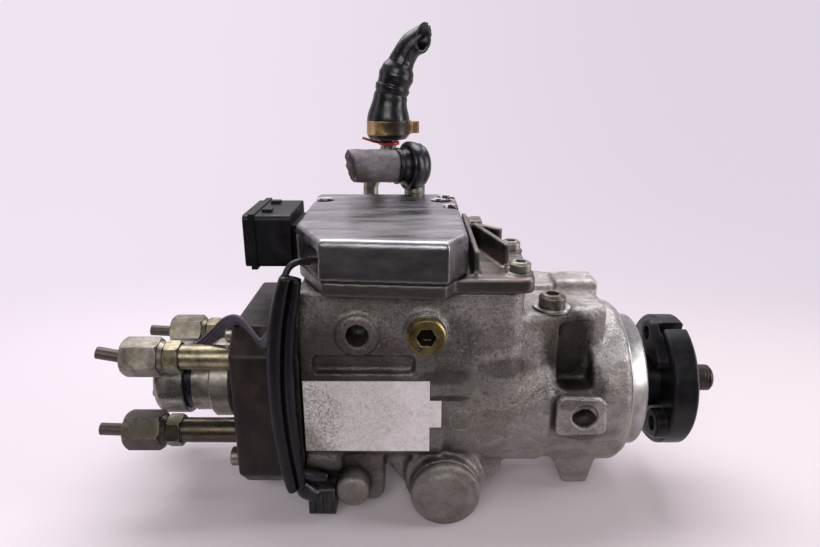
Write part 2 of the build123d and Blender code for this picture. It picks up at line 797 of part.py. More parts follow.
def angle_sensor():
    """Pick-up over the toothed wheel, carried by the cam ring."""
    base_z = sensor_wheel_r + 0.9
    arm = block(cam_x + cam_half_w, drive_body_x + sensor_wheel_t + 2, -sensor_half_w, sensor_half_w, base_z,
                base_z + sensor_rise - 0.6)
    return arm


# ---------------------------------------------------------------- distributor head

def head_outline():
    face = Rectangle(2 * head_half, 2 * head_half)
    return chamfer(face.vertices(), head_chamfer)


def distributor_head():
    head = extrude(place_x(head_x) * head_outline(), head_t)
    head = chamfer(head.edges().group_by(Axis.X)[0], 1.0)
    spigot = rod_x(rear_x, rear_x + head_spigot_len, head_spigot_r)
    spigot = chamfer(spigot.edges().group_by(Axis.X)[-1], 1.0)
    head += spigot
    cuts = [rod_x(head_x - 1, rear_x + head_spigot_len + 1, sleeve_r + seat_gap)]
    for y, z in outlets:
        cuts.append(rod_x(head_x - 1, head_x + holder_root + 0.2, holder_r + 1.0 + seat_gap, y, z))
        cuts.append(rod_x(head_x + holder_root, head_x + holder_root + 6, holder_port_r, y, z))
        angle = degrees(atan2(z, y))
        drill = Plane(origin=(head_x + holder_root + 4.5, 0, 0), z_dir=(0, y, z))
        cuts.append(extrude(drill * Circle(holder_port_r), outlet_ring_r))
    for y, z in head_screw_spots:
        cuts.append(rod_x(head_x - 1, rear_x + 1, head_screw_r + 0.3, y, z))
    return head - cuts


def distributor_sleeve():
    sleeve = tube_x(head_x, sleeve_x, sleeve_r, dist_rotor_r + run_gap)
    cuts = []
    for y, z in outlets:
        drill = Plane(origin=(head_x + holder_root + 4.5, 0, 0), z_dir=(0, y, z))
        cuts.append(extrude(drill * Circle(holder_port_r), sleeve_r + 2))
    return sleeve - cuts


def distributor_rotor():
    rotor = rod_x(dist_rotor_end_x, drive_body_end_x - dist_flange_t, dist_rotor_r)
    rotor += chamfer(rod_x(drive_body_end_x - dist_flange_t, drive_body_end_x, dist_flange_r).edges(), 0.6)
    groove = tube_x(-137.0, -134.0, dist_rotor_r + 1, dist_rotor_r - 2.5)
    return rotor - [rod_x(dist_rotor_end_x, drive_body_end_x, feed_hole_r), groove]


def head_screws():
    screws = []
    for y, z in head_screw_spots:
        screw = rod_x(head_x, head_x + head_screw_len, head_screw_r, y, z)
        cap = rod_x(head_x - head_screw_head_h, head_x, head_screw_head_r, y, z)
        cap = chamfer(cap.edges().group_by(Axis.X)[0], 0.6)
        key = extrude(place_x(head_x - head_screw_head_h, y, z) * hex_face(head_key_af), 2.4)
        screws.append(screw + cap - key)
    return screws


# ---------------------------------------------------------------- delivery outlets

collar_face_x = head_x - holder_len
nut_x1 = collar_face_x - holder_hex_t - nut_gap
nut_x0 = nut_x1 - nut_len


def delivery_holder(y, z):
    """Pressure-valve holder: threaded root, shank, hexagon and the thread for the union nut."""
    body = rod_x(collar_face_x, head_x, holder_r, y, z)
    body += rod_x(head_x, head_x + holder_root, holder_r + 1.0, y, z)
    body += hex_x(collar_face_x - holder_hex_t, collar_face_x, holder_hex_af, y, z, 11)
    end_x = collar_face_x - holder_hex_t
    body += rod_x(end_x - holder_thread_len, end_x, holder_thread_r, y, z)
    cuts = [rod_x(collar_face_x, head_x + holder_root, holder_bore_r, y, z)]
    cuts.append(rod_x(end_x - holder_thread_len, end_x + 9, holder_port_r, y, z))
    return body - cuts


def delivery_valve(y, z):
    """Pressure valve: a fluted piston that lifts towards the pipe."""
    x1 = head_x + holder_root - 0.3
    x0 = x1 - delivery_valve_len
    valve = rod_x(x0, x1, holder_bore_r - run_gap, y, z)
    valve = chamfer(valve.edges().group_by(Axis.X)[0], 1.2)
    flutes = [block(x0 + 5.0, x1, y + dy - 0.9, y + dy + 0.9, z + dz - 0.9, z + dz + 0.9)
              for dy, dz in ((3.2, 0), (-3.2, 0), (0, 3.2), (0, -3.2))]
    return valve - flutes


def union_nut(y, z, turn):
    nut = hex_x(nut_x0, nut_x1, nut_af, y, z, turn)
    nut += cone_x(nut_x1 - 0.5, nut_x1 + nut_cone_len - 0.5, nut_af / 2 - 0.3, nut_af / 2 - 1.6, y, z)
    cuts = [rod_x(nut_x0 + 4.2, nut_x1 + nut_cone_len, holder_thread_r + seat_gap, y, z)]
    cuts.append(rod_x(nut_x0 - 1, nut_x0 + 5, pipe_r + 0.15, y, z))
    return nut - cuts


def injection_pipe(y, z, rise):
    """A cut pipe stub with its swaged head held by the union nut."""
    seat_x = collar_face_x - holder_hex_t - holder_thread_len - seat_gap
    head_end = nut_x0 + 4.2 + seat_gap
    pipe = rod_x(head_end, seat_x, pipe_collar_r, y, z)
    path = FilletPolyline((head_end + 0.5, y, z), (nut_x0 - 2.0, y, z), (nut_x0 - pipe_len, y, z + rise),
                          radius=9.0)
    pipe += sweep(place_x(head_end + 0.5, y, z) * Circle(pipe_r), path)
    bore = sweep(place_x(head_end + 0.5, y, z) * Circle(pipe_bore_r), path)
    return pipe - [bore, rod_x(head_end, seat_x, pipe_bore_r, y, z)]


# ---------------------------------------------------------------- solenoid valve

def solenoid_valve_body():
    body = rod_x(valve_body_end_x, head_x, valve_body_r)
    foot = rod_x(valve_foot_x1, valve_foot_x0, valve_foot_r)
    body += chamfer(foot.edges(), 1.0)
    body += rod_x(head_x, head_x + valve_nose_len, dist_rotor_r)
    cuts = [rod_x(valve_body_end_x, head_x + valve_nose_len, needle_r + run_gap)]
    cuts.append(rod_x(valve_body_end_x, armature_x + 1.5, armature_r + 1.0))
    return body - cuts


def valve_needle():
    needle = rod_x(armature_x, needle_tip_x, needle_r)
    return needle + rod_x(armature_x - armature_t, armature_x, armature_r)


def solenoid_seal():
    return tube_x(valve_cap_x, valve_body_end_x, valve_ring_r - 1.6, armature_r + 2.0)


def solenoid_cap():
    cap = rod_x(valve_cap_end_x, valve_cap_x, valve_cap_r)
    cap = fillet(cap.edges().group_by(Axis.X)[0], valve_cap_round)
    cap = chamfer(cap.edges().group_by(Axis.X)[-1], 0.6)
    return cap - rod_x(valve_cap_x - coil_len - 0.2, valve_cap_x, coil_r + run_gap)


def solenoid_coil():
    return tube_x(valve_cap_x - coil_len, valve_cap_x, coil_r, coil_bore_r)


# ---------------------------------------------------------------- electronic control unit

def ecu_outline(grow=0.0):
    """Plan of the control unit, with a long cut on the near left corner and short ones on the right."""
    x0, x1, y0, y1 = ecu_x0 - grow, ecu_x1 + grow, ecu_y0 - grow, ecu_y1 + grow
    left_x, left_y = ecu_near_left
    right_x, right_y = ecu_near_right
    points = [(x0, y0 + left_y), (x0 + left_x, y0 + ecu_near_slant), (x1 - right_x, y0 - ecu_near_slant),
              (x1, y0 + right_y), (x1, y1 - ecu_far_cut), (x1 - ecu_far_cut, y1), (x0, y1)]
    return make_face(Polyline(*points, close=True))


def ecu_screw_spots():
    return [(ecu_x1 - 3.2, 20.0), (ecu_x1 - 9.0, 36.0), (ecu_x1 - 5.0, ecu_y1 - 9.0),
            (ecu_x0 + 6.0, 37.0)]


def tail_screw_spots():
    return [(tail_x - 6.0, tail_y0 + 9.0), (tail_x - 5.0, 0.0)]


def ecu_base_plate():
    """Cast base with a tail that carries the heat-sink ribs and two of the fixing screws."""
    plate = extrude(Plane.XY.offset(top_z) * ecu_outline(-1.0), ecu_base_t)
    tail = block(ecu_x1 - 6.0, tail_x, tail_y0, tail_y1, top_z, ecu_base_top)
    plate += fillet(tail.edges().filter_by(Axis.Z).group_by(Axis.X)[-1], 5.0)
    back = block(ecu_x1 - 6.0, ecu_x1 + 14.0, tail_y1 - 2, 42.0, top_z, ecu_base_top)
    plate += fillet(back.edges().filter_by(Axis.Z).group_by(Axis.X)[-1], 4.0)
    ribs = [block(ecu_x1 + 2.6, ecu_x1 + 5.2, -38.0, 40.0, ecu_base_top, rib_z)]
    ribs.append(ecu_rib((-73.0, 17.0), (-61.5, -26.0), 2.6))
    ribs.append(ecu_rib((-73.0, 17.0), (-60.5, 4.0), 2.6))
    stop = block(-74.0, -67.5, 24.0, 37.0, ecu_base_top, rib_z - 1)
    ribs.append(fillet(stop.edges().filter_by(Axis.Z), 2.0))
    pads = [rod_z(ecu_base_top, ecu_base_top + 1.6, 6.0, x, y) for x, y in tail_screw_spots()]
    posts = [rod_z(ecu_base_top, board_z, 3.0, x, y) for x in (-136.0, -101.5) for y in (-34.0, 32.0)]
    holes = [rod_z(top_z - 1, ecu_base_top + 3, 3.0, x, y) for x, y in tail_screw_spots()]
    return plate + ribs + pads + posts - holes


def ecu_rib(start, end, thick):
    length = hypot(end[0] - start[0], end[1] - start[1])
    turn = degrees(atan2(end[1] - start[1], end[0] - start[0]))
    spot = Pos((start[0] + end[0]) / 2, (start[1] + end[1]) / 2) * Rot(0, 0, turn)
    return extrude(Plane.XY.offset(ecu_base_top) * spot * Rectangle(length, thick), rib_z - ecu_base_top)


def ecu_gasket():
    ring = extrude(Plane.XY.offset(ecu_base_top) * ecu_outline(-0.6), ecu_gasket_t)
    z0 = ecu_base_top - 1
    z1 = ecu_cover_z + 1
    return ring - ecu_cavity(z0, z1) - ecu_corner_room(z0, z1)


def ecu_cavity(z0, z1):
    room = block(ecu_x0 + 19.0, ecu_x1 - 16.0, ecu_y0 + 8.0, ecu_y1 - 16.0, z0, z1)
    return fillet(room.edges().filter_by(Axis.Z), 6.0)


def ecu_corner_room(z0, z1):
    """Room for the lead's plug, under the lip of the near left corner."""
    left_x, left_y = ecu_near_left
    return block(ecu_x0 - 1, ecu_x0 + left_x - 0.5, ecu_y0 - 1, ecu_y0 + left_y + 2, z0, z1)


def ecu_cover():
    cover = extrude(Plane.XY.offset(ecu_cover_z) * ecu_outline(), ecu_z - ecu_cover_z)
    cover = fillet(cover.edges().group_by(Axis.Z)[-1], ecu_round)
    cuts = [ecu_cavity(ecu_cover_z - 1, ecu_z - ecu_roof)]
    for x, y in ecu_screw_spots():
        cuts.append(rod_z(ecu_screw_z, ecu_z + 1, 5.6, x, y))
        cuts.append(rod_z(ecu_cover_z - 1, ecu_screw_z + 1, 2.1, x, y))
    cuts.append(ecu_corner_room(ecu_cover_z - 1, ecu_lip_z))
    return cover - cuts


def ecu_board():
    board = block(-139.5, -98.5, -40.0, 36.0, board_z, board_z + board_t)
    chips = [block(-134.0, -120.0, -24.0, -8.0, board_z + board_t, board_z + board_t + 2.4),
             block(-114.0, -104.0, 2.0, 20.0, board_z + board_t, board_z + board_t + 3.0)]
    return board + chips


def pan_screw(x, y, z, head_r, head_h, shank_r, shank_len, key_af):
    head = rod_z(z, z + head_h, head_r, x, y)
    head = chamfer(head.edges().group_by(Axis.Z)[-1], head_h * 0.25)
    key = extrude(Plane.XY.offset(z + head_h * 0.45) * Pos(x, y) * hex_face(key_af), head_h)
    return head + rod_z(z - shank_len, z, shank_r, x, y) - key


def cover_screws():
    return [pan_screw(x, y, ecu_screw_z, 4.2, 3.2, 2.0, 9.0, 3.6) for x, y in ecu_screw_spots()]


def base_screws():
    seat_z = ecu_base_top + 1.6
    return [pan_screw(x, y, seat_z, 4.8, 4.4, 2.9, ecu_base_t + 1.5, 4.6) for x, y in tail_screw_spots()]


def ecu_connector():
    """Plug housing on the rear of the control unit, open to the rear, with its blades inside."""
    shell = block(plug_box_x0, plug_box_x1, plug_box_y0, plug_box_y1, plug_box_z0, plug_box_z1)
    shell = fillet(shell.edges().filter_by(Axis.X), 2.6)
    shell += block(plug_box_x1, ecu_x0 - seat_gap, plug_box_y0 + 5, plug_box_y1 - 5, plug_box_z0 + 2,
                   plug_box_z1 - 6)
    wall = plug_box_wall
    shell -= block(plug_box_x0 - 1, plug_box_x1 - 4.0, plug_box_y0 + wall, plug_box_y1 - wall,
                   plug_box_z0 + wall, plug_box_z1 - wall)
    collar = block(plug_box_x0 + 3.0, plug_box_x0 + 6.0, plug_box_y0 - 0.8, plug_box_y1 + 0.8,
                   plug_box_z0 - 0.8, plug_box_z1 + 0.8)
    shell += collar - block(plug_box_x0, plug_box_x1, plug_box_y0 + 1, plug_box_y1 - 1, plug_box_z0 + 1,
                            plug_box_z1 - 1)
    nubs = [block(plug_box_x0 + 8.0, plug_box_x0 + 13.0, y, y + 4.0, plug_box_z1 - 0.5, plug_box_z1 + 1.6)
            for y in (plug_box_y0 + 7.0, plug_box_y1 - 12.0)]
    mid_z = (plug_box_z0 + plug_box_z1) / 2
    blades = [block(plug_box_x1 - 12.0, plug_box_x1 - 4.0, plug_box_y0 + 8 + 8 * n, plug_box_y0 + 9.2 + 8 * n,
                    mid_z + dz - 1.4, mid_z + dz + 1.4) for n in range(4) for dz in (-5.0, 5.0)]
    return shell + nubs + blades


# ---------------------------------------------------------------- small pieces on the housing

def type_plate():
    """Bare riveted plate with a small tab on its front edge."""
    y0, y1 = -side_y - plate_t, -side_y
    plate = block(plate_x0, plate_x1, y0, y1, plate_z0, plate_z1)
    return plate + block(plate_x1 - 1, plate_x1 + plate_tab_x, y0, y1, plate_tab_z0, plate_tab_z1)


def plug_screw():
    face_y = -side_y - boss_rise - plug_washer_t
    head = rod_y(face_y - plug_head_t, face_y, plug_head_r, plug_x, plug_z)
    head = chamfer(head.edges().group_by(Axis.Y)[0], 0.9)
    thread = rod_y(face_y, face_y + plug_thread_len, plug_thread_r, plug_x, plug_z)
    key = extrude(place_y(plug_x, face_y - plug_head_t, plug_z) * hex_face(plug_key_af), 7.0)
    return head + thread - key


def plug_washer():
    face_y = -side_y - boss_rise
    washer = rod_y(face_y - plug_washer_t, face_y, plug_washer_r, plug_x, plug_z)
    return washer - rod_y(face_y - 2, face_y + 1, plug_thread_r + seat_gap, plug_x, plug_z)


def lock_washer():
    seat_z = shoulder_z - lock_seat_depth
    washer = rod_z(seat_z, seat_z + lock_washer_t, lock_washer_r, lock_x, lock_y)
    return washer - rod_z(seat_z - 1, seat_z + 3, lock_thread_r + seat_gap, lock_x, lock_y)


def lock_bolt():
    seat_z = shoulder_z - lock_seat_depth + lock_washer_t
    return pan_screw(lock_x, lock_y, seat_z, lock_head_r, lock_head_h, lock_thread_r, lock_thread_len,
                     lock_key_af)


# ---------------------------------------------------------------- wiring

def cable_sheath():
    """Flat duct that leads the leads down the near side, over the joint of head and housing."""
    mid_z = (sheath_top_z + sheath_end_z) / 2
    path = ThreePointArc((sheath_x_top, sheath_top_z), (sheath_x_top - sheath_bow, mid_z + 8),
                         (sheath_x_top + 2.0, sheath_end_z))
    return sheath_strip(path, sheath_w, sheath_t) + sheath_strip(path, sheath_w - 5.0, sheath_t + 1.4)


def sheath_strip(path, width, thick):
    left = Pos(-width / 2, 0) * path
    right = Pos(width / 2, 0) * path
    outline = left + right + Line(left @ 0, right @ 0) + Line(left @ 1, right @ 1)
    near_side = Plane(origin=(0, sheath_y - 0.4, 0), x_dir=(1, 0, 0), z_dir=(0, -1, 0))
    return extrude(near_side * make_face(outline.edges()), thick)


def ribbon_cable():
    """Flat cable from the sheath to the top of the solenoid valve."""
    y = sheath_y - 3.0
    path = FilletPolyline((-171.2, y, 60.0), (-175.5, y - 1.0, 42.0), (-185.5, -37.0, 53.5),
                          (-199.0, -24.0, 45.0), (-206.5, -12.0, 27.5), (-215.5, -5.0, 18.9), radius=4.5)
    section = Plane(origin=path @ 0, x_dir=(0, 1, 0), z_dir=path % 0) * Rectangle(ribbon_t, ribbon_w)
    return sweep(section, path)


def sensor_lead():
    """Round lead with its moulded plug under the corner of the control unit's cover, down into the sheath."""
    plug = block(-156.0, -146.0, -38.0, -18.0, ecu_base_top, ecu_lip_z - 1.0)
    plug = fillet(plug.edges().filter_by(Axis.Z), 1.5)
    path = FilletPolyline((-154.5, -25.0, 76.5), (-164.5, -26.0, 79.0), (-170.5, -40.0, 76.0),
                          (-168.9, sheath_y - 2.6, 64.0), radius=4.0)
    return plug + sweep(Plane(origin=path @ 0, z_dir=path % 0) * Circle(lead_r), path)


# ---------------------------------------------------------------- fuel connections

def pipe_along(points, bend_r, radius, bore=0.0):
    path = FilletPolyline(*points, radius=bend_r)
    spot = Plane(origin=path @ 0, z_dir=path % 0)
    pipe = sweep(spot * Circle(radius), path)
    return pipe - sweep(spot * Circle(bore), path) if bore else pipe


def supply_pipe():
    pipe = pipe_along(supply_path(), supply_bend_r, supply_pipe_r, supply_pipe_r - 1.5)
    return pipe + tube_y(side_y, side_y + 5.0, supply_pipe_r + 4.0, supply_pipe_r - 1.5, supply_x, 30.0)


def tube_y(y0, y1, r_out, r_in, x, z):
    return rod_y(y0, y1, r_out, x, z) - rod_y(y0 - 1, y1 + 1, r_in, x, z)


def supply_path():
    return [(supply_x, side_y, 30.0), (supply_x, fuel_y, 30.0), (supply_x, fuel_y, supply_pipe_z),
            (supply_x - 24.0, fuel_y, supply_pipe_z)]


def return_pipe():
    points = [(return_foot_x, side_y, return_root_z), (return_foot_x, return_y, return_root_z),
              (return_foot_x, return_y, return_lean_z), (return_x, return_y, return_sleeve_z0 - 5.0),
              (return_x, return_y, return_sleeve_z0 + 14.5)]
    pipe = pipe_along(points, 10.0, return_pipe_r, return_pipe_r - 1.2)
    return pipe + tube_y(side_y, side_y + 5.0, return_pipe_r + 3.6, return_pipe_r - 1.2, return_foot_x,
                         return_root_z)


def supply_hose():
    """The cut supply hose, and the thick rubber cuff that covers the pipe's elbow behind it."""
    hose = tube_x(supply_x - 40.0, supply_x - 14.0, supply_hose_r, supply_pipe_r + seat_gap, fuel_y,
                  supply_pipe_z)
    cuff = rod_x(supply_cuff_x0, supply_cuff_x1, supply_cuff_r, fuel_y, supply_pipe_z)
    cuff = chamfer(cuff.edges(), 1.2)
    groove_x = supply_cuff_x0 + 5.0
    cuff -= tube_x(groove_x, groove_x + 2.0, supply_cuff_r + 1, supply_cuff_r - 2.0, fuel_y, supply_pipe_z)
    cuff -= pipe_along(supply_path(), supply_bend_r, supply_pipe_r + seat_gap)
    return [hose, cuff]


def return_hose():
    """The cut return hose, with the wide moulded sleeve that the clamp grips."""
    x = return_x
    y = return_y
    points = [(x, y, return_sleeve_z0), (x, y, 141.0), (x + 4.5, y, 157.0), (x + 12.5, y, 170.5),
              (x + 23.5, y, 179.0)]
    inner = return_hose_r - 1.5
    profile = Polyline((inner, return_sleeve_z0), (return_sleeve_r - 1.6, return_sleeve_z0),
                       (return_sleeve_r, return_sleeve_z0 + 2.5), (return_sleeve_r, clamp_z1 + 1.5),
                       (return_sleeve_top_r, return_sleeve_z1), (return_sleeve_top_r, return_sleeve_z1 + 5.0),
                       (inner, return_sleeve_z1 + 7.0), close=True)
    sleeve = revolve(Plane.XZ * make_face(profile), Axis.Z)
    return pipe_along(points, 14.0, return_hose_r, return_pipe_r + seat_gap) + Pos(x, y) * sleeve


def hose_clamps():
    x = return_x
    y = return_y
    outer = return_sleeve_r + clamp_t
    band = rod_z(clamp_z0, clamp_z1, outer, x, y)
    band += block(x + outer - 1.0, x + outer + 5.0, y - 3.5, y + 3.5, clamp_z0 + 0.5, clamp_z1 - 0.5)
    band -= rod_z(clamp_z0 - 1, clamp_z1 + 1, return_sleeve_r + seat_gap, x, y)
    collar = tube_x(supply_x - 20.0, supply_x - 15.0, supply_hose_r + 1.6, supply_hose_r + seat_gap, fuel_y,
                    supply_pipe_z)
    return [band, collar]


# ---------------------------------------------------------------- all sub-parts

def write_all():
    os.makedirs("parts", exist_ok=True)
    write("pump_housing", pump_housing())
    write("drive_shaft", drive_shaft())
    write("hub_key", hub_key())
    write("drive_hub", drive_hub())
    write("front_bearing", front_bearing())
    write("shaft_seal", shaft_seal())
    write("vane_ring", vane_ring())
    write("port_plate", port_plate())
    write("vane_rotor", vane_rotor())
    write("vanes", vanes())
    write("cam_ring", cam_ring())
    write("cam_pin", cam_pin())
    for number, side in ((1, 1), (2, -1)):
        write(f"roller_shoe_{number}", roller_shoe(side))
        write(f"roller_{number}", roller(side))
        write(f"plunger_{number}", plunger(side))
    write("timing_piston", timing_piston())
    write("timing_spring", timing_spring())
    write("timing_covers", [timing_cover(-1), timing_cover(1)])
    write("timing_valve", timing_valve())
    write("timing_connector", timing_connector())
    write("sensor_wheel", sensor_wheel())
    write("angle_sensor", angle_sensor())
    write("distributor_head", distributor_head())
    write("distributor_sleeve", distributor_sleeve())
    write("distributor_rotor", distributor_rotor())
    write("head_screws", head_screws())
    write("delivery_holders", [delivery_holder(y, z) for y, z in outlets])
    for number, (y, z) in enumerate(outlets, 1):
        write(f"delivery_valve_{number}", delivery_valve(y, z))
    turns = (8, -6, 14, 2)
    write("union_nuts", [union_nut(y, z, turn) for (y, z), turn in zip(outlets, turns)])
    rises = (2.2, 0.4, 0.5, 0.6)
    write("injection_pipes", [injection_pipe(y, z, rise) for (y, z), rise in zip(outlets, rises)])
    write("solenoid_valve_body", solenoid_valve_body())
    write("valve_needle", valve_needle())
    write("solenoid_seal", solenoid_seal())
    write("solenoid_cap", solenoid_cap())
    write("solenoid_coil", solenoid_coil())
    write("ecu_base_plate", ecu_base_plate())
    write("ecu_gasket", ecu_gasket())
    write("ecu_cover", ecu_cover())
    write("ecu_board", ecu_board())
    write("cover_screws", cover_screws())
    write("base_screws", base_screws())
    write("ecu_connector", ecu_connector())
    write("type_plate", type_plate())
    write("plug_screw", plug_screw())
    write("sealing_washers", [plug_washer(), lock_washer()])
    write("lock_bolt", lock_bolt())
    write("cable_sheath", cable_sheath())
    write("ribbon_cable", ribbon_cable())
    write("sensor_lead", sensor_lead())
    write("supply_pipe", supply_pipe())
    write("return_pipe", return_pipe())
    write("supply_hose", supply_hose())
    write("return_hose", return_hose())
    write("hose_clamps", hose_clamps())


write_all()
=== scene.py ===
import bpy
import bmesh
import json
import math
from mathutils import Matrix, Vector, noise


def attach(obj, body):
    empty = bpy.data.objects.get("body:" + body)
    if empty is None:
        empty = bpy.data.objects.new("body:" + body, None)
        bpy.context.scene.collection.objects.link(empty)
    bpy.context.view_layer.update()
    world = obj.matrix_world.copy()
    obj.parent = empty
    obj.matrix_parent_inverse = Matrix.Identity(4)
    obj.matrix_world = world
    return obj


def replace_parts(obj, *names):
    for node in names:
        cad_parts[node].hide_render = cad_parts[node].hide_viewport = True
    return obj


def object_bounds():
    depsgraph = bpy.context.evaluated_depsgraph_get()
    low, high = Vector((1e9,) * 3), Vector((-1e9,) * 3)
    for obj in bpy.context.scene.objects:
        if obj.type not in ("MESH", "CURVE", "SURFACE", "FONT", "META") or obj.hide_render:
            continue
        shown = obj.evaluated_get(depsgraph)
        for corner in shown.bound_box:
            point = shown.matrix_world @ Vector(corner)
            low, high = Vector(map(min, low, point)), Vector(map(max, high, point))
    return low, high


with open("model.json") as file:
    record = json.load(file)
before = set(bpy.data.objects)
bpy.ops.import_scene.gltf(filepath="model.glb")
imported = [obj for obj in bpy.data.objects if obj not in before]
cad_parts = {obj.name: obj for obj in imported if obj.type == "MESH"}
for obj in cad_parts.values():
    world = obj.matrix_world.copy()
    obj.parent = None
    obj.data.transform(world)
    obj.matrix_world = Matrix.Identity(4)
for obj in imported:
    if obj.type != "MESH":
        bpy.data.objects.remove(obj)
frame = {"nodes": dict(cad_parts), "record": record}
lowCorner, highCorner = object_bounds()
mm = 0.001
print("pump loaded:", len(frame["nodes"]), "nodes")

# how every finish is layered: each noise's detail and roughness, and the band where each mask fades
layers = dict(
    mottleNoise=(9, 0.74), mottleBand=(0.3, 0.72),
    speckFade=1.6,
    grimeNoise=(7, 0.68), grimeBand=(0.47, 0.66),
    filmScale=55, filmNoise=(6, 0.7), filmSquash=(1, 1, 0.35), filmShare=-0.7, sideShadeBand=(0.0, 0.35),
    raggedScale=70, raggedNoise=(7, 0.7), stainRag=1.3, stainReach=1.25, stainGain=2.4,
    sprayNoise=(4, 0.65),
    shadeSamples=5, hollowRag=0.35, hollowBand=(0.62, 0.98),
    bevelSamples=4, edgeMaskGain=5.0, chipScale=500, chipNoise=(3, 0.55), chipBand=(0.35, 0.6),
    glossNoise=(4, 0.55), glossBand=(0.3, 0.7),
    grainNoise=(3, 0.6))


def newMaterial(name):
    mat = bpy.data.materials.new(name)
    mat.use_nodes = True
    tree = mat.node_tree
    tree.nodes.clear()
    out = tree.nodes.new("ShaderNodeOutputMaterial")
    shader = tree.nodes.new("ShaderNodeBsdfPrincipled")
    tree.links.new(shader.outputs["BSDF"], out.inputs["Surface"])
    coords = tree.nodes.new("ShaderNodeTexCoord")
    return mat, tree, shader, coords.outputs["Object"]


# scale is in cells per metre
def noiseOf(tree, where, scale, detail, rough, squash=(1, 1, 1)):
    mapping = tree.nodes.new("ShaderNodeMapping")
    mapping.inputs["Scale"].default_value = squash
    tree.links.new(where, mapping.inputs["Vector"])
    tex = tree.nodes.new("ShaderNodeTexNoise")
    tex.inputs["Scale"].default_value = scale
    tex.inputs["Detail"].default_value = detail
    tex.inputs["Roughness"].default_value = rough
    tree.links.new(mapping.outputs["Vector"], tex.inputs["Vector"])
    return tex.outputs["Fac"]


def specksOf(tree, where, scale):
    tex = tree.nodes.new("ShaderNodeTexVoronoi")
    tex.inputs["Scale"].default_value = scale
    tree.links.new(where, tex.inputs["Vector"])
    return tex.outputs["Distance"]


def ramp(tree, value, stops):
    node = tree.nodes.new("ShaderNodeValToRGB")
    band = node.color_ramp
    while len(band.elements) < len(stops):
        band.elements.new(0.5)
    for element, (place, colour) in zip(band.elements, stops):
        element.position = place
        element.color = (*colour, 1.0)
    tree.links.new(value, node.inputs["Fac"])
    return node.outputs["Color"]


def grey(v):
    return (v, v, v)


# a grey mask that goes from one amount to another over a band of values
def maskOf(tree, value, band, start, end):
    return ramp(tree, value, [(band[0], grey(start)), (band[1], grey(end))])


# a and b are colours, or sockets that give them
def mixColour(tree, factor, a, b):
    node = tree.nodes.new("ShaderNodeMix")
    node.data_type = "RGBA"
    tree.links.new(factor, node.inputs[0])
    for socket, value in zip([i for i in node.inputs if i.type == "RGBA"], (a, b)):
        if hasattr(value, "is_linked"):
            tree.links.new(value, socket)
        else:
            socket.default_value = (*value, 1.0)
    return [o for o in node.outputs if o.type == "RGBA"][0]


def mathOf(tree, operation, a, b, clamp=False):
    node = tree.nodes.new("ShaderNodeMath")
    node.operation = operation
    node.use_clamp = clamp
    for socket, value in zip(node.inputs, (a, b)):
        if hasattr(value, "is_linked"):
            tree.links.new(value, socket)
        else:
            socket.default_value = value
    return node.outputs[0]


# a rounded-edge normal, and a mask that is high along edges, used for wear and painted edge highlights
def softEdges(tree, radius):
    bevel = tree.nodes.new("ShaderNodeBevel")
    bevel.samples = layers["bevelSamples"]
    bevel.inputs["Radius"].default_value = radius
    flat = tree.nodes.new("ShaderNodeNewGeometry")
    dot = tree.nodes.new("ShaderNodeVectorMath")
    dot.operation = "DOT_PRODUCT"
    tree.links.new(bevel.outputs["Normal"], dot.inputs[0])
    tree.links.new(flat.outputs["Normal"], dot.inputs[1])
    mask = mathOf(tree, "SUBTRACT", 1.0, dot.outputs["Value"], clamp=True)
    mask = mathOf(tree, "MULTIPLY", mask, layers["edgeMaskGain"], clamp=True)
    return bevel.outputs["Normal"], mask


def bumpOf(tree, height, strength, distance, normal):
    node = tree.nodes.new("ShaderNodeBump")
    node.inputs["Strength"].default_value = strength
    node.inputs["Distance"].default_value = distance
    tree.links.new(height, node.inputs["Height"])
    tree.links.new(normal, node.inputs["Normal"])
    return node.outputs["Normal"]


# high inside a ragged ellipsoid about a place on the pump, in millimetres
def stainAt(tree, where, centre, reach, ragged):
    mapping = tree.nodes.new("ShaderNodeMapping")
    mapping.vector_type = "TEXTURE"
    mapping.inputs["Location"].default_value = [c * mm for c in centre]
    mapping.inputs["Scale"].default_value = [r * mm for r in reach]
    tree.links.new(where, mapping.inputs["Vector"])
    length = tree.nodes.new("ShaderNodeVectorMath")
    length.operation = "LENGTH"
    tree.links.new(mapping.outputs["Vector"], length.inputs[0])
    edge = mathOf(tree, "MULTIPLY", mathOf(tree, "SUBTRACT", ragged, 0.5), layers["stainRag"])
    inside = mathOf(tree, "SUBTRACT", layers["stainReach"], length.outputs["Value"])
    inside = mathOf(tree, "SUBTRACT", inside, edge)
    return mathOf(tree, "MULTIPLY", inside, layers["stainGain"], clamp=True)
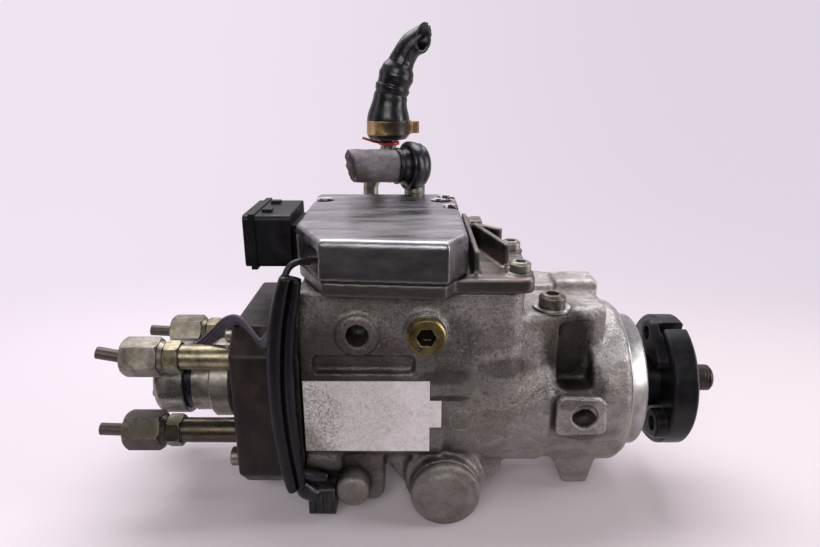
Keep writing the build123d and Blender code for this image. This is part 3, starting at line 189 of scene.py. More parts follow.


# one finish: mottled colour, grime in patches, oil and painted shade in hollows and on side faces, worn and
# painted-highlit edges, grain and varied gloss
def surface(look):
    mat, tree, shader, where = newMaterial(look["name"])
    shader.inputs["Metallic"].default_value = look.get("metal", 0.0)
    shader.inputs["Specular IOR Level"].default_value = look.get("specular", 0.5)
    squash = look.get("squash", (1, 1, 1))
    mottle = noiseOf(tree, where, look.get("mottleScale", 60), *layers["mottleNoise"], squash)
    low, high = layers["mottleBand"]
    colour = ramp(tree, mottle, [(low, look["dark"]), (high, look["light"])])
    if "specks" in look:
        amount, tint, scale, size = look["specks"]
        mask = maskOf(tree, specksOf(tree, where, scale), (size, size * layers["speckFade"]), amount, 0.0)
        colour = mixColour(tree, mask, colour, tint)
    if "grime" in look:
        amount, tint, scale = look["grime"]
        stain = noiseOf(tree, where, scale, *layers["grimeNoise"], look.get("grimeSquash", (1, 1, 1)))
        mask = maskOf(tree, stain, look.get("grimeBand", layers["grimeBand"]), 0.0, amount)
        colour = mixColour(tree, mask, colour, tint)
    # side and downward faces darker than tops: an oil film, and painted shade where less light falls
    if "sides" in look:
        amount, tint = look["sides"]
        facing = tree.nodes.new("ShaderNodeNewGeometry")
        parts = tree.nodes.new("ShaderNodeSeparateXYZ")
        tree.links.new(facing.outputs["Normal"], parts.inputs["Vector"])
        film = noiseOf(tree, where, layers["filmScale"], *layers["filmNoise"], layers["filmSquash"])
        film = mathOf(tree, "MULTIPLY", film, layers["filmShare"])
        upward = mathOf(tree, "ADD", parts.outputs["Z"], film)
        colour = mixColour(tree, maskOf(tree, upward, layers["sideShadeBand"], amount, 0.0), colour, tint)
    ragged = noiseOf(tree, where, layers["raggedScale"], *layers["raggedNoise"])
    for centre, reach, amount, tint in look.get("patches", []):
        mask = mathOf(tree, "MULTIPLY", stainAt(tree, where, centre, reach, ragged), amount)
        colour = mixColour(tree, mask, colour, tint)
    for amount, tint, scale, band, centre, reach in look.get("sprays", []):
        dots = maskOf(tree, noiseOf(tree, where, scale, *layers["sprayNoise"]), band, 0.0, amount)
        mask = mathOf(tree, "MULTIPLY", dots, stainAt(tree, where, centre, reach, ragged))
        colour = mixColour(tree, mask, colour, tint)
    # painted shade: ambient occlusion darkens hollows and crevices, standing also for oil gathered there
    if "hollowShadeAndOil" in look:
        amount, tint, depth = look["hollowShadeAndOil"]
        shade = tree.nodes.new("ShaderNodeAmbientOcclusion")
        shade.samples = layers["shadeSamples"]
        shade.inputs["Distance"].default_value = depth * mm
        torn = mathOf(tree, "MULTIPLY", ragged, layers["hollowRag"])
        occlusionShade = mathOf(tree, "ADD", shade.outputs["AO"], torn)
        colour = mixColour(tree, maskOf(tree, occlusionShade, layers["hollowBand"], amount, 0.0), colour, tint)
    normal, edge = softEdges(tree, look.get("edgeRadius", 0.5) * mm)
    # edges lighter in chips: wear, and painted highlight along edges
    if "edgeWearAndHighlight" in look:
        amount, tint = look["edgeWearAndHighlight"]
        chips = noiseOf(tree, where, layers["chipScale"], *layers["chipNoise"])
        chips = maskOf(tree, chips, layers["chipBand"], 0.0, 1.0)
        wornHighlitEdge = mathOf(tree, "MULTIPLY", mathOf(tree, "MULTIPLY", edge, chips), amount, clamp=True)
        colour = mixColour(tree, wornHighlitEdge, colour, tint)
    tree.links.new(colour, shader.inputs["Base Color"])
    squash = look.get("glossSquash", (1, 1, 1))
    gloss = noiseOf(tree, where, look.get("roughScale", 180), *layers["glossNoise"], squash)
    tree.links.new(maskOf(tree, gloss, layers["glossBand"], *look["gloss"]), shader.inputs["Roughness"])
    for scale, strength, distance in look.get("grain", []):
        grain = noiseOf(tree, where, scale, *layers["grainNoise"], look.get("grainSquash", (1, 1, 1)))
        normal = bumpOf(tree, grain, strength, distance * mm, normal)
    tree.links.new(normal, shader.inputs["Normal"])
    return mat


# near-black for oil stains, also used as painted shade in hollows and for the shadows of cast marks
oilAndShade = (0.02, 0.015, 0.013)
soil = (0.075, 0.063, 0.05)
looks = {
    "cast_aluminium": dict(
        name="castAluminium", metal=0.62, dark=(0.26, 0.24, 0.228), light=(0.52, 0.5, 0.485),
        mottleScale=210, specks=(0.7, (0.045, 0.036, 0.03), 420, 0.08),
        grime=(0.42, (0.1, 0.08, 0.066), 58), grimeSquash=(0.7, 1.0, 1.3), grimeBand=(0.49, 0.56),
        sides=(0.42, (0.15, 0.125, 0.108)),
        patches=[((-140, -44, 22), (32, 14, 26), 0.8, (0.04, 0.03, 0.026)),
                 ((-125, -44, 8), (46, 14, 62), 0.45, (0.06, 0.048, 0.042)),
                 ((-152, -40, -20), (26, 30, 50), 0.7, oilAndShade), ((-88, -43, 38), (14, 8, 15), 0.45, oilAndShade),
                 ((-31, -30, 32), (13, 18, 22), 0.93, oilAndShade), ((-23, -34, 14), (10, 16, 10), 0.8, oilAndShade),
                 ((-62, -42, 26), (13, 8, 5), 0.6, oilAndShade), ((-125, -36, -44), (24, 20, 16), 0.45, soil),
                 # the patches about (-90, -42, 22) and (-88, -42, 11) are painted shadows of small cast
                 # marks, which are not modelled
                 ((-38, -30, 44), (9, 14, 12), 0.5, soil), ((-90, -42, 22), (12, 6, 4), 0.7, oilAndShade),
                 ((-88, -42, 11), (9, 6, 1.5), 0.9, oilAndShade), ((-23, -44, -8), (15, 8, 5), 0.6, oilAndShade)],
        sprays=[(0.55, (0.04, 0.031, 0.026), 900, (0.5, 0.66), (-110, -43, 30), (70, 20, 45)),
                (0.4, (0.055, 0.044, 0.037), 760, (0.52, 0.68), (-45, -35, 10), (60, 30, 60)),
                (0.45, (0.62, 0.6, 0.59), 800, (0.6, 0.7), (-80, -43, 45), (50, 20, 18)),
                (0.35, (0.17, 0.18, 0.145), 90, (0.42, 0.62), (-78, -43, 5), (24, 14, 20))],
        hollowShadeAndOil=(0.95, (0.022, 0.017, 0.014), 8.0), edgeWearAndHighlight=(0.9, (0.78, 0.76, 0.75)), gloss=(0.26, 0.5),
        roughScale=420, grain=[(1100, 0.8, 0.45), (420, 0.55, 0.7), (110, 0.35, 1.6)], edgeRadius=0.9),
    "machined_aluminium": dict(
        name="turnedAluminium", metal=0.9, dark=(0.42, 0.415, 0.41), light=(0.62, 0.615, 0.605),
        mottleScale=50, grime=(0.6, (0.13, 0.115, 0.095), 55), sides=(0.3, (0.16, 0.145, 0.13)),
        hollowShadeAndOil=(0.7, oilAndShade, 3.0), edgeWearAndHighlight=(0.6, (0.78, 0.78, 0.77)), gloss=(0.24, 0.45),
        grain=[(1400, 0.12, 0.2)], edgeRadius=0.6),
    "black_steel": dict(
        name="blackedSteel", metal=0.3, specular=0.35, dark=(0.004, 0.0034, 0.0048),
        light=(0.011, 0.0095, 0.012), mottleScale=90, edgeWearAndHighlight=(0.5, (0.16, 0.14, 0.13)), gloss=(0.28, 0.46),
        grain=[(1200, 0.1, 0.2)], edgeRadius=0.6),
    "brown_steel": dict(
        name="brownedSteel", metal=0.5, dark=(0.007, 0.0045, 0.004), light=(0.022, 0.014, 0.012),
        mottleScale=90, grime=(0.4, (0.055, 0.034, 0.025), 90), hollowShadeAndOil=(0.6, (0.006, 0.005, 0.004), 3.0),
        edgeWearAndHighlight=(0.45, (0.2, 0.17, 0.15)), gloss=(0.36, 0.6), grain=[(700, 0.3, 0.3), (160, 0.2, 0.4)],
        edgeRadius=0.8),
    "zinc_steel": dict(
        name="greyZinc", metal=0.85, dark=(0.2, 0.185, 0.15), light=(0.42, 0.4, 0.345), mottleScale=120,
        grime=(0.7, (0.05, 0.042, 0.032), 110), hollowShadeAndOil=(0.8, oilAndShade, 2.0), edgeWearAndHighlight=(0.7, (0.6, 0.58, 0.53)),
        gloss=(0.26, 0.5), grain=[(1500, 0.18, 0.2), (300, 0.12, 0.3)], edgeRadius=0.5),
    "yellow_zinc": dict(
        name="yellowZinc", metal=0.85, dark=(0.11, 0.078, 0.026), light=(0.36, 0.28, 0.12), mottleScale=170,
        grime=(0.75, (0.045, 0.033, 0.02), 150), hollowShadeAndOil=(0.97, (0.005, 0.004, 0.003), 8.0),
        edgeWearAndHighlight=(0.5, (0.72, 0.64, 0.42)), gloss=(0.22, 0.42), grain=[(1500, 0.1, 0.2)], edgeRadius=0.5),
    "ground_steel": dict(
        name="groundSteel", metal=1.0, dark=(0.26, 0.24, 0.23), light=(0.46, 0.45, 0.44), mottleScale=80,
        grime=(0.5, (0.1, 0.07, 0.05), 120), edgeWearAndHighlight=(0.4, (0.7, 0.69, 0.68)), gloss=(0.24, 0.42),
        grain=[(1800, 0.08, 0.1)], edgeRadius=0.4),
    "cast_cover": dict(
        name="diecastCover", metal=1.0, dark=(0.15, 0.14, 0.15), light=(0.46, 0.445, 0.47), mottleScale=90,
        squash=(0.35, 1.8, 1), specks=(0.75, (0.06, 0.055, 0.05), 420, 0.09),
        grime=(0.6, (0.17, 0.155, 0.14), 48), grimeSquash=(0.6, 1.4, 1), grimeBand=(0.52, 0.75),
        sides=(0.5, (0.07, 0.063, 0.063)), hollowShadeAndOil=(0.75, (0.05, 0.045, 0.04), 4.0),
        edgeWearAndHighlight=(0.9, (0.9, 0.88, 0.9)), gloss=(0.22, 0.42), roughScale=60, glossSquash=(0.35, 1.8, 1),
        grain=[(1300, 0.1, 0.2), (120, 0.12, 0.5)], edgeRadius=1.1),
    "black_plastic": dict(
        name="blackMoulding", specular=0.35, dark=(0.006, 0.005, 0.007), light=(0.016, 0.015, 0.018),
        mottleScale=60, grime=(0.35, (0.07, 0.065, 0.065), 120), gloss=(0.36, 0.55),
        grain=[(1600, 0.15, 0.15)], edgeRadius=0.6),
    "violet_cable": dict(
        name="violetCable", dark=(0.03, 0.023, 0.036), light=(0.085, 0.068, 0.098), mottleScale=150,
        gloss=(0.32, 0.5), grain=[(900, 0.12, 0.2)], edgeRadius=0.3),
    "black_rubber": dict(
        name="blackRubber", specular=0.35, dark=(0.004, 0.0035, 0.005), light=(0.012, 0.0105, 0.015),
        mottleScale=120, grime=(0.2, (0.05, 0.043, 0.049), 130), hollowShadeAndOil=(0.9, (0.002, 0.0015, 0.002), 6.0),
        gloss=(0.2, 0.42), grain=[(900, 0.22, 0.3)], edgeRadius=0.4),
    "grey_rubber": dict(
        name="greyRubber", dark=(0.06, 0.05, 0.06), light=(0.2, 0.175, 0.195), mottleScale=150,
        squash=(0.4, 1, 1), grime=(0.6, (0.045, 0.036, 0.032), 110),
        patches=[((-137, 46, 99), (9, 12, 8), 0.7, (0.05, 0.036, 0.022))],
        hollowShadeAndOil=(0.95, (0.012, 0.009, 0.008), 7.0), gloss=(0.5, 0.8),
        grain=[(900, 0.5, 0.4), (300, 0.4, 0.6)], edgeRadius=0.4),
    "bearing_bronze": dict(
        name="bearingBronze", metal=1.0, dark=(0.36, 0.24, 0.12), light=(0.5, 0.36, 0.2),
        gloss=(0.25, 0.4)),
    "copper_winding": dict(
        name="copperWinding", metal=0.9, dark=(0.35, 0.14, 0.07), light=(0.5, 0.24, 0.13),
        gloss=(0.3, 0.45), grain=[(2500, 0.4, 0.2)], grainSquash=(1, 0.05, 0.05)),
    "green_board": dict(
        name="greenBoard", dark=(0.02, 0.09, 0.045), light=(0.035, 0.15, 0.075), gloss=(0.25, 0.4)),
    "plate_metal": dict(
        name="plateMetal", metal=0.12, dark=(0.64, 0.595, 0.6), light=(0.86, 0.81, 0.82), mottleScale=420,
        grime=(0.35, (0.26, 0.22, 0.2), 330), grimeBand=(0.56, 0.66),
        patches=[((-158, -46, -18), (12, 10, 14), 0.7, (0.16, 0.125, 0.1)),
                 ((-137, -46, 2), (26, 10, 24), 0.22, (0.3, 0.27, 0.26))],
        sprays=[(0.7, (0.13, 0.1, 0.08), 900, (0.44, 0.6), (-153, -46, -2), (14, 10, 26)),
                (0.5, (0.22, 0.19, 0.17), 1100, (0.5, 0.66), (-136, -46, 6), (26, 10, 22))],
        edgeWearAndHighlight=(0.5, (0.9, 0.88, 0.88)), gloss=(0.42, 0.65), grain=[(1500, 0.25, 0.2), (420, 0.25, 0.2)],
        edgeRadius=0.3)}
# nodes whose finish differs from the rest of their material
# darker over the lower nuts and holders, with a fainter brownish band at Z 20
lowerDarkening = [((-218, -35, -12), (46, 16, 14), 0.85, (0.035, 0.028, 0.023)),
              ((-225, 10, 20), (30, 30, 6), 0.4, (0.1, 0.085, 0.05))]
ownLooks = {
    "ecu_base_plate": dict(
        looks["cast_cover"], name="stainedBasePlate", dark=(0.1, 0.083, 0.075), light=(0.23, 0.2, 0.185),
        mottleScale=130, specks=(0.7, (0.03, 0.025, 0.02), 500, 0.1),
        hollowShadeAndOil=(0.8, (0.02, 0.016, 0.013), 3.0), gloss=(0.34, 0.55), edgeWearAndHighlight=(0.8, (0.62, 0.58, 0.58)),
        grain=[(1100, 0.3, 0.25), (260, 0.2, 0.4)]),
    "timing_covers": dict(
        looks["cast_aluminium"], name="dullCover", dark=(0.17, 0.157, 0.145), light=(0.31, 0.292, 0.278),
        mottleScale=190, patches=[], sprays=[], sides=(0.3, (0.15, 0.13, 0.115)), gloss=(0.42, 0.62)),
    "timing_valve": dict(
        looks["cast_aluminium"], name="dullValve", dark=(0.15, 0.138, 0.128), light=(0.3, 0.28, 0.265),
        mottleScale=190, patches=[], sprays=[], gloss=(0.42, 0.62)),
    "union_nuts": dict(
        looks["zinc_steel"], name="nutZinc", dark=(0.13, 0.115, 0.085), light=(0.42, 0.395, 0.33),
        mottleScale=150, patches=lowerDarkening, hollowShadeAndOil=(0.9, (0.012, 0.009, 0.007), 5.0), gloss=(0.28, 0.5)),
    "delivery_holders": dict(
        looks["zinc_steel"], name="holderZinc", dark=(0.16, 0.13, 0.075), light=(0.4, 0.36, 0.25),
        mottleScale=100, patches=lowerDarkening, hollowShadeAndOil=(0.95, (0.01, 0.008, 0.006), 6.0),
        gloss=(0.22, 0.42)),
    "injection_pipes": dict(
        looks["brown_steel"], name="pipeSteel", dark=(0.045, 0.034, 0.03), light=(0.13, 0.105, 0.092),
        gloss=(0.32, 0.5)),
    "drive_shaft": dict(
        looks["brown_steel"], name="shaftSteel", dark=(0.02, 0.014, 0.014), light=(0.06, 0.045, 0.044),
        gloss=(0.28, 0.45)),
    "lock_bolt": dict(
        looks["zinc_steel"], name="boltSteel", dark=(0.1, 0.085, 0.065), light=(0.3, 0.27, 0.225),
        mottleScale=160, hollowShadeAndOil=(0.95, (0.012, 0.009, 0.007), 4.0)),
    "solenoid_cap": dict(
        looks["zinc_steel"], name="capSteel", dark=(0.17, 0.15, 0.135), light=(0.46, 0.44, 0.415),
        mottleScale=70, patches=[((-222, -10, -18), (24, 22, 12), 0.8, (0.03, 0.024, 0.02))],
        gloss=(0.24, 0.42)),
    "cable_sheath": dict(
        looks["black_rubber"], name="sheathRubber", dark=(0.003, 0.0025, 0.004),
        light=(0.007, 0.0058, 0.009), grime=(0, oilAndShade, 90), specular=0.28, gloss=(0.3, 0.45),
        grain=[(700, 0.12, 0.2)]),
    "pump_housing_pad": dict(
        looks["cast_aluminium"], name="padCasting", patches=[((-30, -44, 9), (9, 6, 4), 0.5, oilAndShade)],
        sides=(0.25, (0.15, 0.125, 0.108)), edgeWearAndHighlight=(1.0, (0.8, 0.78, 0.78))),
    "ecu_connector": dict(
        looks["black_plastic"], name="plugMoulding", specular=0.2, dark=(0.003, 0.0026, 0.0036),
        light=(0.007, 0.006, 0.0085), grime=(0.2, (0.05, 0.045, 0.05), 120))}
finishes = {name: surface(look) for name, look in {**looks, **ownLooks}.items()}
slotOf = {p["node"]: p["material_slot"] for p in frame["record"]["subparts"]}
for node, slot in slotOf.items():
    thing = bpy.data.objects.get(node)
    thing.data.materials.clear()
    thing.data.materials.append(finishes.get(node) or finishes[slot])
print("finishes set:", len(finishes))


def addObject(name, data):
    thing = bpy.data.objects.new(name, data)
    bpy.context.scene.collection.objects.link(thing)
    return thing


# the mesh that an object's modifiers make; the object itself is taken away
def bakedMesh(holder):
    graph = bpy.context.evaluated_depsgraph_get()
    mesh = bpy.data.meshes.new_from_object(holder.evaluated_get(graph), depsgraph=graph)
    bpy.data.objects.remove(holder)
    return mesh


# points closer than this, in metres, are one
sameSpot = 1e-7


# a closed mesh object from points and faces given in millimetres
def meshObject(name, points, faces, slot, body="pump", smooth=True, material=None):
    mesh = bpy.data.meshes.new(name)
    mesh.from_pydata([Vector(p) * mm for p in points], [], faces)
    bm = bmesh.new()
    bm.from_mesh(mesh)
    bmesh.ops.remove_doubles(bm, verts=bm.verts, dist=sameSpot)
    bmesh.ops.recalc_face_normals(bm, faces=bm.faces)
    bm.to_mesh(mesh)
    bm.free()
    for face in mesh.polygons:
        face.use_smooth = smooth
    thing = addObject(name, mesh)
    thing.data.materials.append(material or finishes[slot])
    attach(thing, body)
    return thing


# a casting's skin, in millimetres and degrees; the corner values are for nodes with cornerRound
skin = dict(mergeWithin=0.002, smoothing=0.5, flatWithin=1, sharpOver=12, upright=0.99, cornerSegments=5)


def isUprightCorner(edge, longerThan):
    if len(edge.link_faces) != 2:
        return False
    rise = (edge.verts[0].co - edge.verts[1].co).normalized().z
    sharp = edge.calc_face_angle_signed(0) > math.radians(skin["sharpOver"])
    return abs(rise) > skin["upright"] and edge.calc_length() > longerThan and sharp


# a copy of a node with its merged mesh cast in one skin: soft edges, small fillets where forms meet
def softCasting(node, s):
    source = bpy.data.objects[node].data
    bm = bmesh.new()
    bm.from_mesh(source)
    bmesh.ops.remove_doubles(bm, verts=bm.verts, dist=skin["mergeWithin"] * mm)
    if "cornerRound" in s:
        flat = math.radians(skin["flatWithin"])
        bmesh.ops.dissolve_limit(bm, angle_limit=flat, verts=bm.verts, edges=bm.edges)
        upright = [edge for edge in bm.edges if isUprightCorner(edge, s["cornerLength"] * mm)]
        bmesh.ops.bevel(bm, geom=upright, offset=s["cornerRound"] * mm, segments=skin["cornerSegments"],
                        affect="EDGES", profile=0.5, clamp_overlap=True)
        bmesh.ops.triangulate(bm, faces=bm.faces)
    mesh = bpy.data.meshes.new(node + "Skin")
    bm.to_mesh(mesh)
    bm.free()
    holder = addObject(node + "Holder", mesh)
    remesh = holder.modifiers.new("skin", "REMESH")
    remesh.mode = "VOXEL"
    remesh.voxel_size = s["voxel"] * mm
    smooth = holder.modifiers.new("smooth", "SMOOTH")
    smooth.factor = skin["smoothing"]
    smooth.iterations = s["passes"]
    thin = holder.modifiers.new("thin", "DECIMATE")
    thin.ratio = s["keep"]
    done = bakedMesh(holder)
    for face in done.polygons:
        face.use_smooth = True
    slot = slotOf[node]
    done.materials.clear()
    done.materials.append(finishes.get(node) or finishes[slot])
    thing = addObject(node + "_cast", done)
    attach(thing, "pump")
    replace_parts(thing, node)
    print(node, "cast:", len(done.polygons), "faces")


castings = {
    "pump_housing": dict(voxel=1.1, passes=3, keep=0.45),
    "ecu_cover": dict(voxel=0.8, passes=4, keep=0.4, cornerRound=5.0, cornerLength=10),
    "ecu_base_plate": dict(voxel=0.8, passes=3, keep=0.4),
    "distributor_head": dict(voxel=0.9, passes=4, keep=0.5),
    "timing_covers": dict(voxel=0.7, passes=9, keep=0.5),
}
for node, settings in castings.items():
    softCasting(node, settings)


def noiseAt(x, y, z):
    return noise.noise(Vector((x, y, z)))


# a smooth run through the given points
def smoothRun(points, steps):
    ends = [2 * Vector(points[0]) - Vector(points[1])] + [Vector(p) for p in points]
    ends.append(2 * ends[-1] - ends[-2])
    run = []
    for a, b, c, d in zip(ends, ends[1:], ends[2:], ends[3:]):
        for n in range(steps):
            t = n / steps
            square = (2 * a - 5 * b + 4 * c - d) * t * t
            cube = (3 * b - a - 3 * c + d) * t ** 3
            run.append(0.5 * (2 * b + (c - a) * t + square + cube))
    run.append(ends[-2])
    return run


# for each point of a run: its place, its direction and two sideways directions that don't twist
def framesAlong(run, side):
    frames = []
    across = Vector(side)
    for n, p in enumerate(run):
        ahead = (run[min(n + 1, len(run) - 1)] - run[max(n - 1, 0)]).normalized()
        across = (across - ahead * across.dot(ahead)).normalized()
        frames.append((p, ahead, across, ahead.cross(across)))
    return frames


# faces over rows of points round a ring: the first and last row are capped, or joined to each other
def gridFaces(rows, around, joined=False):
    faces = []
    for r in range(rows if joined else rows - 1):
        here, there = r * around, (r + 1) % rows * around
        for k in range(around):
            after = (k + 1) % around
            faces.append((here + k, here + after, there + after, there + k))
    if not joined:
        faces.append(tuple(range(around)))
        faces.append(tuple((rows - 1) * around + k for k in range(around)))
    return faces


# how fast a wobble changes round a ring and along it
ripple = dict(around=2, along=0.2)


# a ring profile (place along the axis, radius) turned about a line from a point along a direction
def turned(name, profile, origin, direction, slot, around=72, body="pump", wobble=0.0, material=None):
    turn = Vector(direction).to_track_quat("Z", "Y")
    points = []
    for along, radius in profile:
        for k in range(around):
            t = 2 * math.pi * k / around
            x, y = math.cos(t), math.sin(t)
            wave = noiseAt(x * ripple["around"], y * ripple["around"], along * ripple["along"])
            r = radius * (1 + wobble * wave)
            points.append(Vector(origin) + turn @ Vector((r * x, r * y, along)))
    faces = gridFaces(len(profile), around, joined=True)
    return meshObject(name, points, faces, slot, body, material=material)


# a value from a table of places and values, eased from one row to the next
def blend(table, t):
    for (t0, v0), (t1, v1) in zip(table, table[1:]):
        if t <= t1:
            k = (t - t0) / (t1 - t0)
            k = k * k * (3 - 2 * k)
            return v0 + (v1 - v0) * k
    return table[-1][1]


def even(radius):
    return [(0, radius), (1, radius)]


# a closed bar along a smooth run: its radius is a table over the run, its section flattened by a share
def bar(name, path, table, slot, around=24, steps=8, material=None, side=(0, 1, 0), flat=1.0):
    frames = framesAlong(smoothRun(path, steps), side)
    points = []
    for n, (p, ahead, across, up) in enumerate(frames):
        r = blend(table, n / (len(frames) - 1))
        for k in range(around):
            t = 2 * math.pi * k / around
            points.append(p + across * math.cos(t) * r + up * math.sin(t) * r * flat)
    return meshObject(name, points, gridFaces(len(frames), around), slot, material=material)


returnHose = dict(
    path=[(-119.5, 80.5, 117.5), (-119.8, 80.5, 128), (-118.4, 80.5, 141), (-115.6, 80.5, 151.5),
          (-111.6, 80.5, 162), (-106.2, 80.2, 170), (-99.0, 79.6, 174.6)],
    shape=[(0.0, 10.8), (0.03, 12.2), (0.05, 12.6), (0.18, 12.6), (0.33, 10.0), (0.355, 9.9), (0.375, 9.35),
           (0.4, 10.0), (0.43, 10.3), (0.455, 9.5), (0.48, 9.7), (0.53, 10.35), (0.58, 9.6), (0.65, 7.6),
           (0.72, 7.2), (1.0, 7.3)], wall=1.5, lip=0.35, inner=[1.0, 0.997, 0.95, 0.88, 0.78], around=72,
    rings=120, steps=24, mouthFaces=(0.82, -0.57, 0.04), mouthFrom=0.66, mouthEase=1.3, tear=0.9,
    tearScale=4, tearSeed=9.0, lump=dict(height=0.14, around=1.5, along=7.0),
    seam=dict(height=0.3, turn=4.9, width=0.16), seamFrom=0.6, tag=dict(height=3.2, turn=4.45, width=0.13))


# a rounded ridge at one turn about a hose
def hump(turn, s):
    return s["height"] * math.exp(-((turn - s["turn"]) / s["width"]) ** 2)


# the wide sleeve, two soft rings, the bend and the torn mouth of the return hose
def makeReturnHose(s):
    frames = framesAlong(smoothRun(s["path"], s["steps"]), (1, 0, 0))
    facing = Vector(s["mouthFaces"]).normalized()
    around, lump, points = s["around"], s["lump"], []

    def ring(t, radius):
        spot = t * (len(frames) - 1)
        n = min(int(spot), len(frames) - 2)
        share = spot - n
        p = frames[n][0].lerp(frames[n + 1][0], share)
        ahead, across, up = (frames[n][i].lerp(frames[n + 1][i], share).normalized() for i in (1, 2, 3))
        cutShare = max(0.0, (t - s["mouthFrom"]) / (1 - s["mouthFrom"])) ** s["mouthEase"]
        for k in range(around):
            turn = 2 * math.pi * k / around
            x, y = math.cos(turn), math.sin(turn)
            out = across * x + up * y
            r = radius + lump["height"] * noiseAt(x * lump["around"], y * lump["around"], t * lump["along"])
            r += hump(turn, s["seam"]) * (t > s["seamFrom"])
            slide = -(out * r).dot(facing) / ahead.dot(facing)
            rag = s["tear"] * noiseAt(x * s["tearScale"], y * s["tearScale"], s["tearSeed"])
            rag += hump(turn, s["tag"])
            points.append(p + out * r + ahead * (slide + rag) * cutShare)

    for n in range(s["rings"] + 1):
        ring(n / s["rings"], blend(s["shape"], n / s["rings"]))
    for t in s["inner"]:
        ring(t, blend(s["shape"], t) - s["wall"] * (s["lip"] if t == 1.0 else 1.0))
    faces = gridFaces(s["rings"] + 1 + len(s["inner"]), around)
    return meshObject("return_hose_rubber", points, faces, "black_rubber")


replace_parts(makeReturnHose(returnHose), "return_hose")

# mouth: from which size, how much wider and how deep each ring of the cut end lies
supplyHose = dict(
    elbow=(-104.0, 62.0, 104.0), aim=(-0.912, -0.405, 0.055), length=40.5, start=10.0, radius=9.25,
    bore=6.2, around=80, rings=40, slant=3.4, tear=0.9, tearScale=3, tearSeed=1.0, fringe=0.6,
    fringeScale=14, fringeSeed=5.0,
    swell=dict(height=0.3, along=0.16, around=1.6), fuzz=dict(height=0.12, along=0.9, around=9),
    fray=dict(height=0.25, start=0.86, over=0.14),
    mouth=[("radius", -0.6, -0.25), ("radius", -1.2, 0.5), ("bore", 0.6, 0.7), ("bore", 0.0, 1.2),
           ("bore", -0.1, 4.0), ("bore", -0.2, 12.0)])


# the cut textile-covered hose: rough skin, a slanted ragged mouth and an inner tube
def makeSupplyHose(s):
    around, points = s["around"], []
    swell, fuzz, fray = s["swell"], s["fuzz"], s["fray"]
    turnTo = Vector(s["aim"]).to_track_quat("Z", "Y")

    def ring(t, radius, deep=0.0):
        for k in range(around):
            turn = 2 * math.pi * k / around
            x, y = math.cos(turn), math.sin(turn)
            cut = s["slant"] * (1 - y) * 0.5
            cut += s["tear"] * noiseAt(x * s["tearScale"], y * s["tearScale"], s["tearSeed"])
            fringe = noiseAt(x * s["fringeScale"], y * s["fringeScale"], s["fringeSeed"])
            cut += s["fringe"] * s["tear"] * fringe
            along = s["start"] + (s["length"] - s["start"] - cut) * t - deep
            lift = swell["height"] * noiseAt(along * swell["along"], x * swell["around"],
                                             y * swell["around"])
            fine = fuzz["height"] * noiseAt(along * fuzz["along"], x * fuzz["around"], y * fuzz["around"])
            lift += fine - fray["height"] * max(0.0, t - fray["start"]) / fray["over"]
            r = radius + lift * (radius > s["bore"])
            points.append(Vector(s["elbow"]) + turnTo @ Vector((r * x, r * y, along)))

    for n in range(s["rings"] + 1):
        ring(n / s["rings"], s["radius"])
    for size, wider, deep in s["mouth"]:
        ring(1.0, s[size] + wider, deep)
    faces = gridFaces(s["rings"] + 1 + len(s["mouth"]), around)
    return meshObject("supply_hose_cover", points, faces, "grey_rubber")


# along the hose from the elbow: the cuff's back, its wide rim, stepped face and the clip ring on the hose
supplyCuff = dict(
    profile=[(-6.0, 6.2), (-6.0, 9.8), (-4.6, 11.6), (-2.4, 12.9), (-1.2, 12.7), (-0.6, 13.2), (2.6, 13.9),
             (4.6, 13.9), (5.6, 13.5), (6.0, 12.6), (5.6, 12.0), (4.4, 11.8), (4.2, 10.9), (5.4, 10.7),
             (7.6, 10.6), (8.4, 10.2), (8.8, 9.75), (10.2, 9.75), (10.5, 10.25), (11.3, 10.4),
             (12.1, 10.25), (12.4, 9.6), (12.8, 9.3), (12.6, 8.4), (4, 6.2)], wobble=0.012)
supplyCover = makeSupplyHose(supplyHose)
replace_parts(supplyCover, "supply_hose")
turned("supply_cuff_rings", supplyCuff["profile"], supplyHose["elbow"], supplyHose["aim"], "black_rubber",
       around=96, wobble=supplyCuff["wobble"])

supplyPipe = dict(
    path=[(-104, 43.2, 30), (-104, 50, 30), (-104, 57.5, 32.2), (-104, 61.4, 38.5), (-104, 62, 48),
          (-104, 62, 68), (-104, 62, 88), (-104.3, 61.8, 95.5), (-106.8, 60.7, 101.6),
          (-111.5, 58.7, 104.2), (-119, 55.4, 104.8)], radius=6.0,
    foot=[(43.0, 5.2), (43.0, 10.0), (47.2, 10.0), (48.0, 9.2), (48.0, 6.4), (48.6, 6.1), (48.6, 5.2)],
    footPlace=(-104, 0, 30))
pipeSkin = bar("supply_pipe_bend", supplyPipe["path"], even(supplyPipe["radius"]), slotOf["supply_pipe"],
               around=48, side=(1, 0, 0))
turned("supply_pipe_foot", supplyPipe["foot"], supplyPipe["footPlace"], (0, 1, 0), slotOf["supply_pipe"])
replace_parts(pipeSkin, "supply_pipe")

# the machined ring and pilot, which stay crisp on the casting
flangeRing = dict(
    profile=[(-2.2, 30.0), (-2.2, 38.9), (-1.6, 39.5), (-0.1, 39.5), (0.12, 39.2), (0.12, 34.9),
             (0.3, 34.15), (7.9, 34.15), (8.7, 33.3), (8.75, 30.0)])
turned("flange_ring", flangeRing["profile"], (0, 0, 0), (1, 0, 0), "machined_aluminium", around=128)

bracketPad = dict(
    corners=[(-37.6, 9.8), (-35.2, 12.2), (-17.5, 11.6), (-14.4, 9.0), (-13.4, -5.6), (-15.2, -7.6),
             (-35.4, -8.4), (-37.4, -6.4)], y0=-42.2, y1=-44.4, inset=1.0, chamfer=0.7, centre=(-24.0, 2.0),
    hole=6.0, around=64)


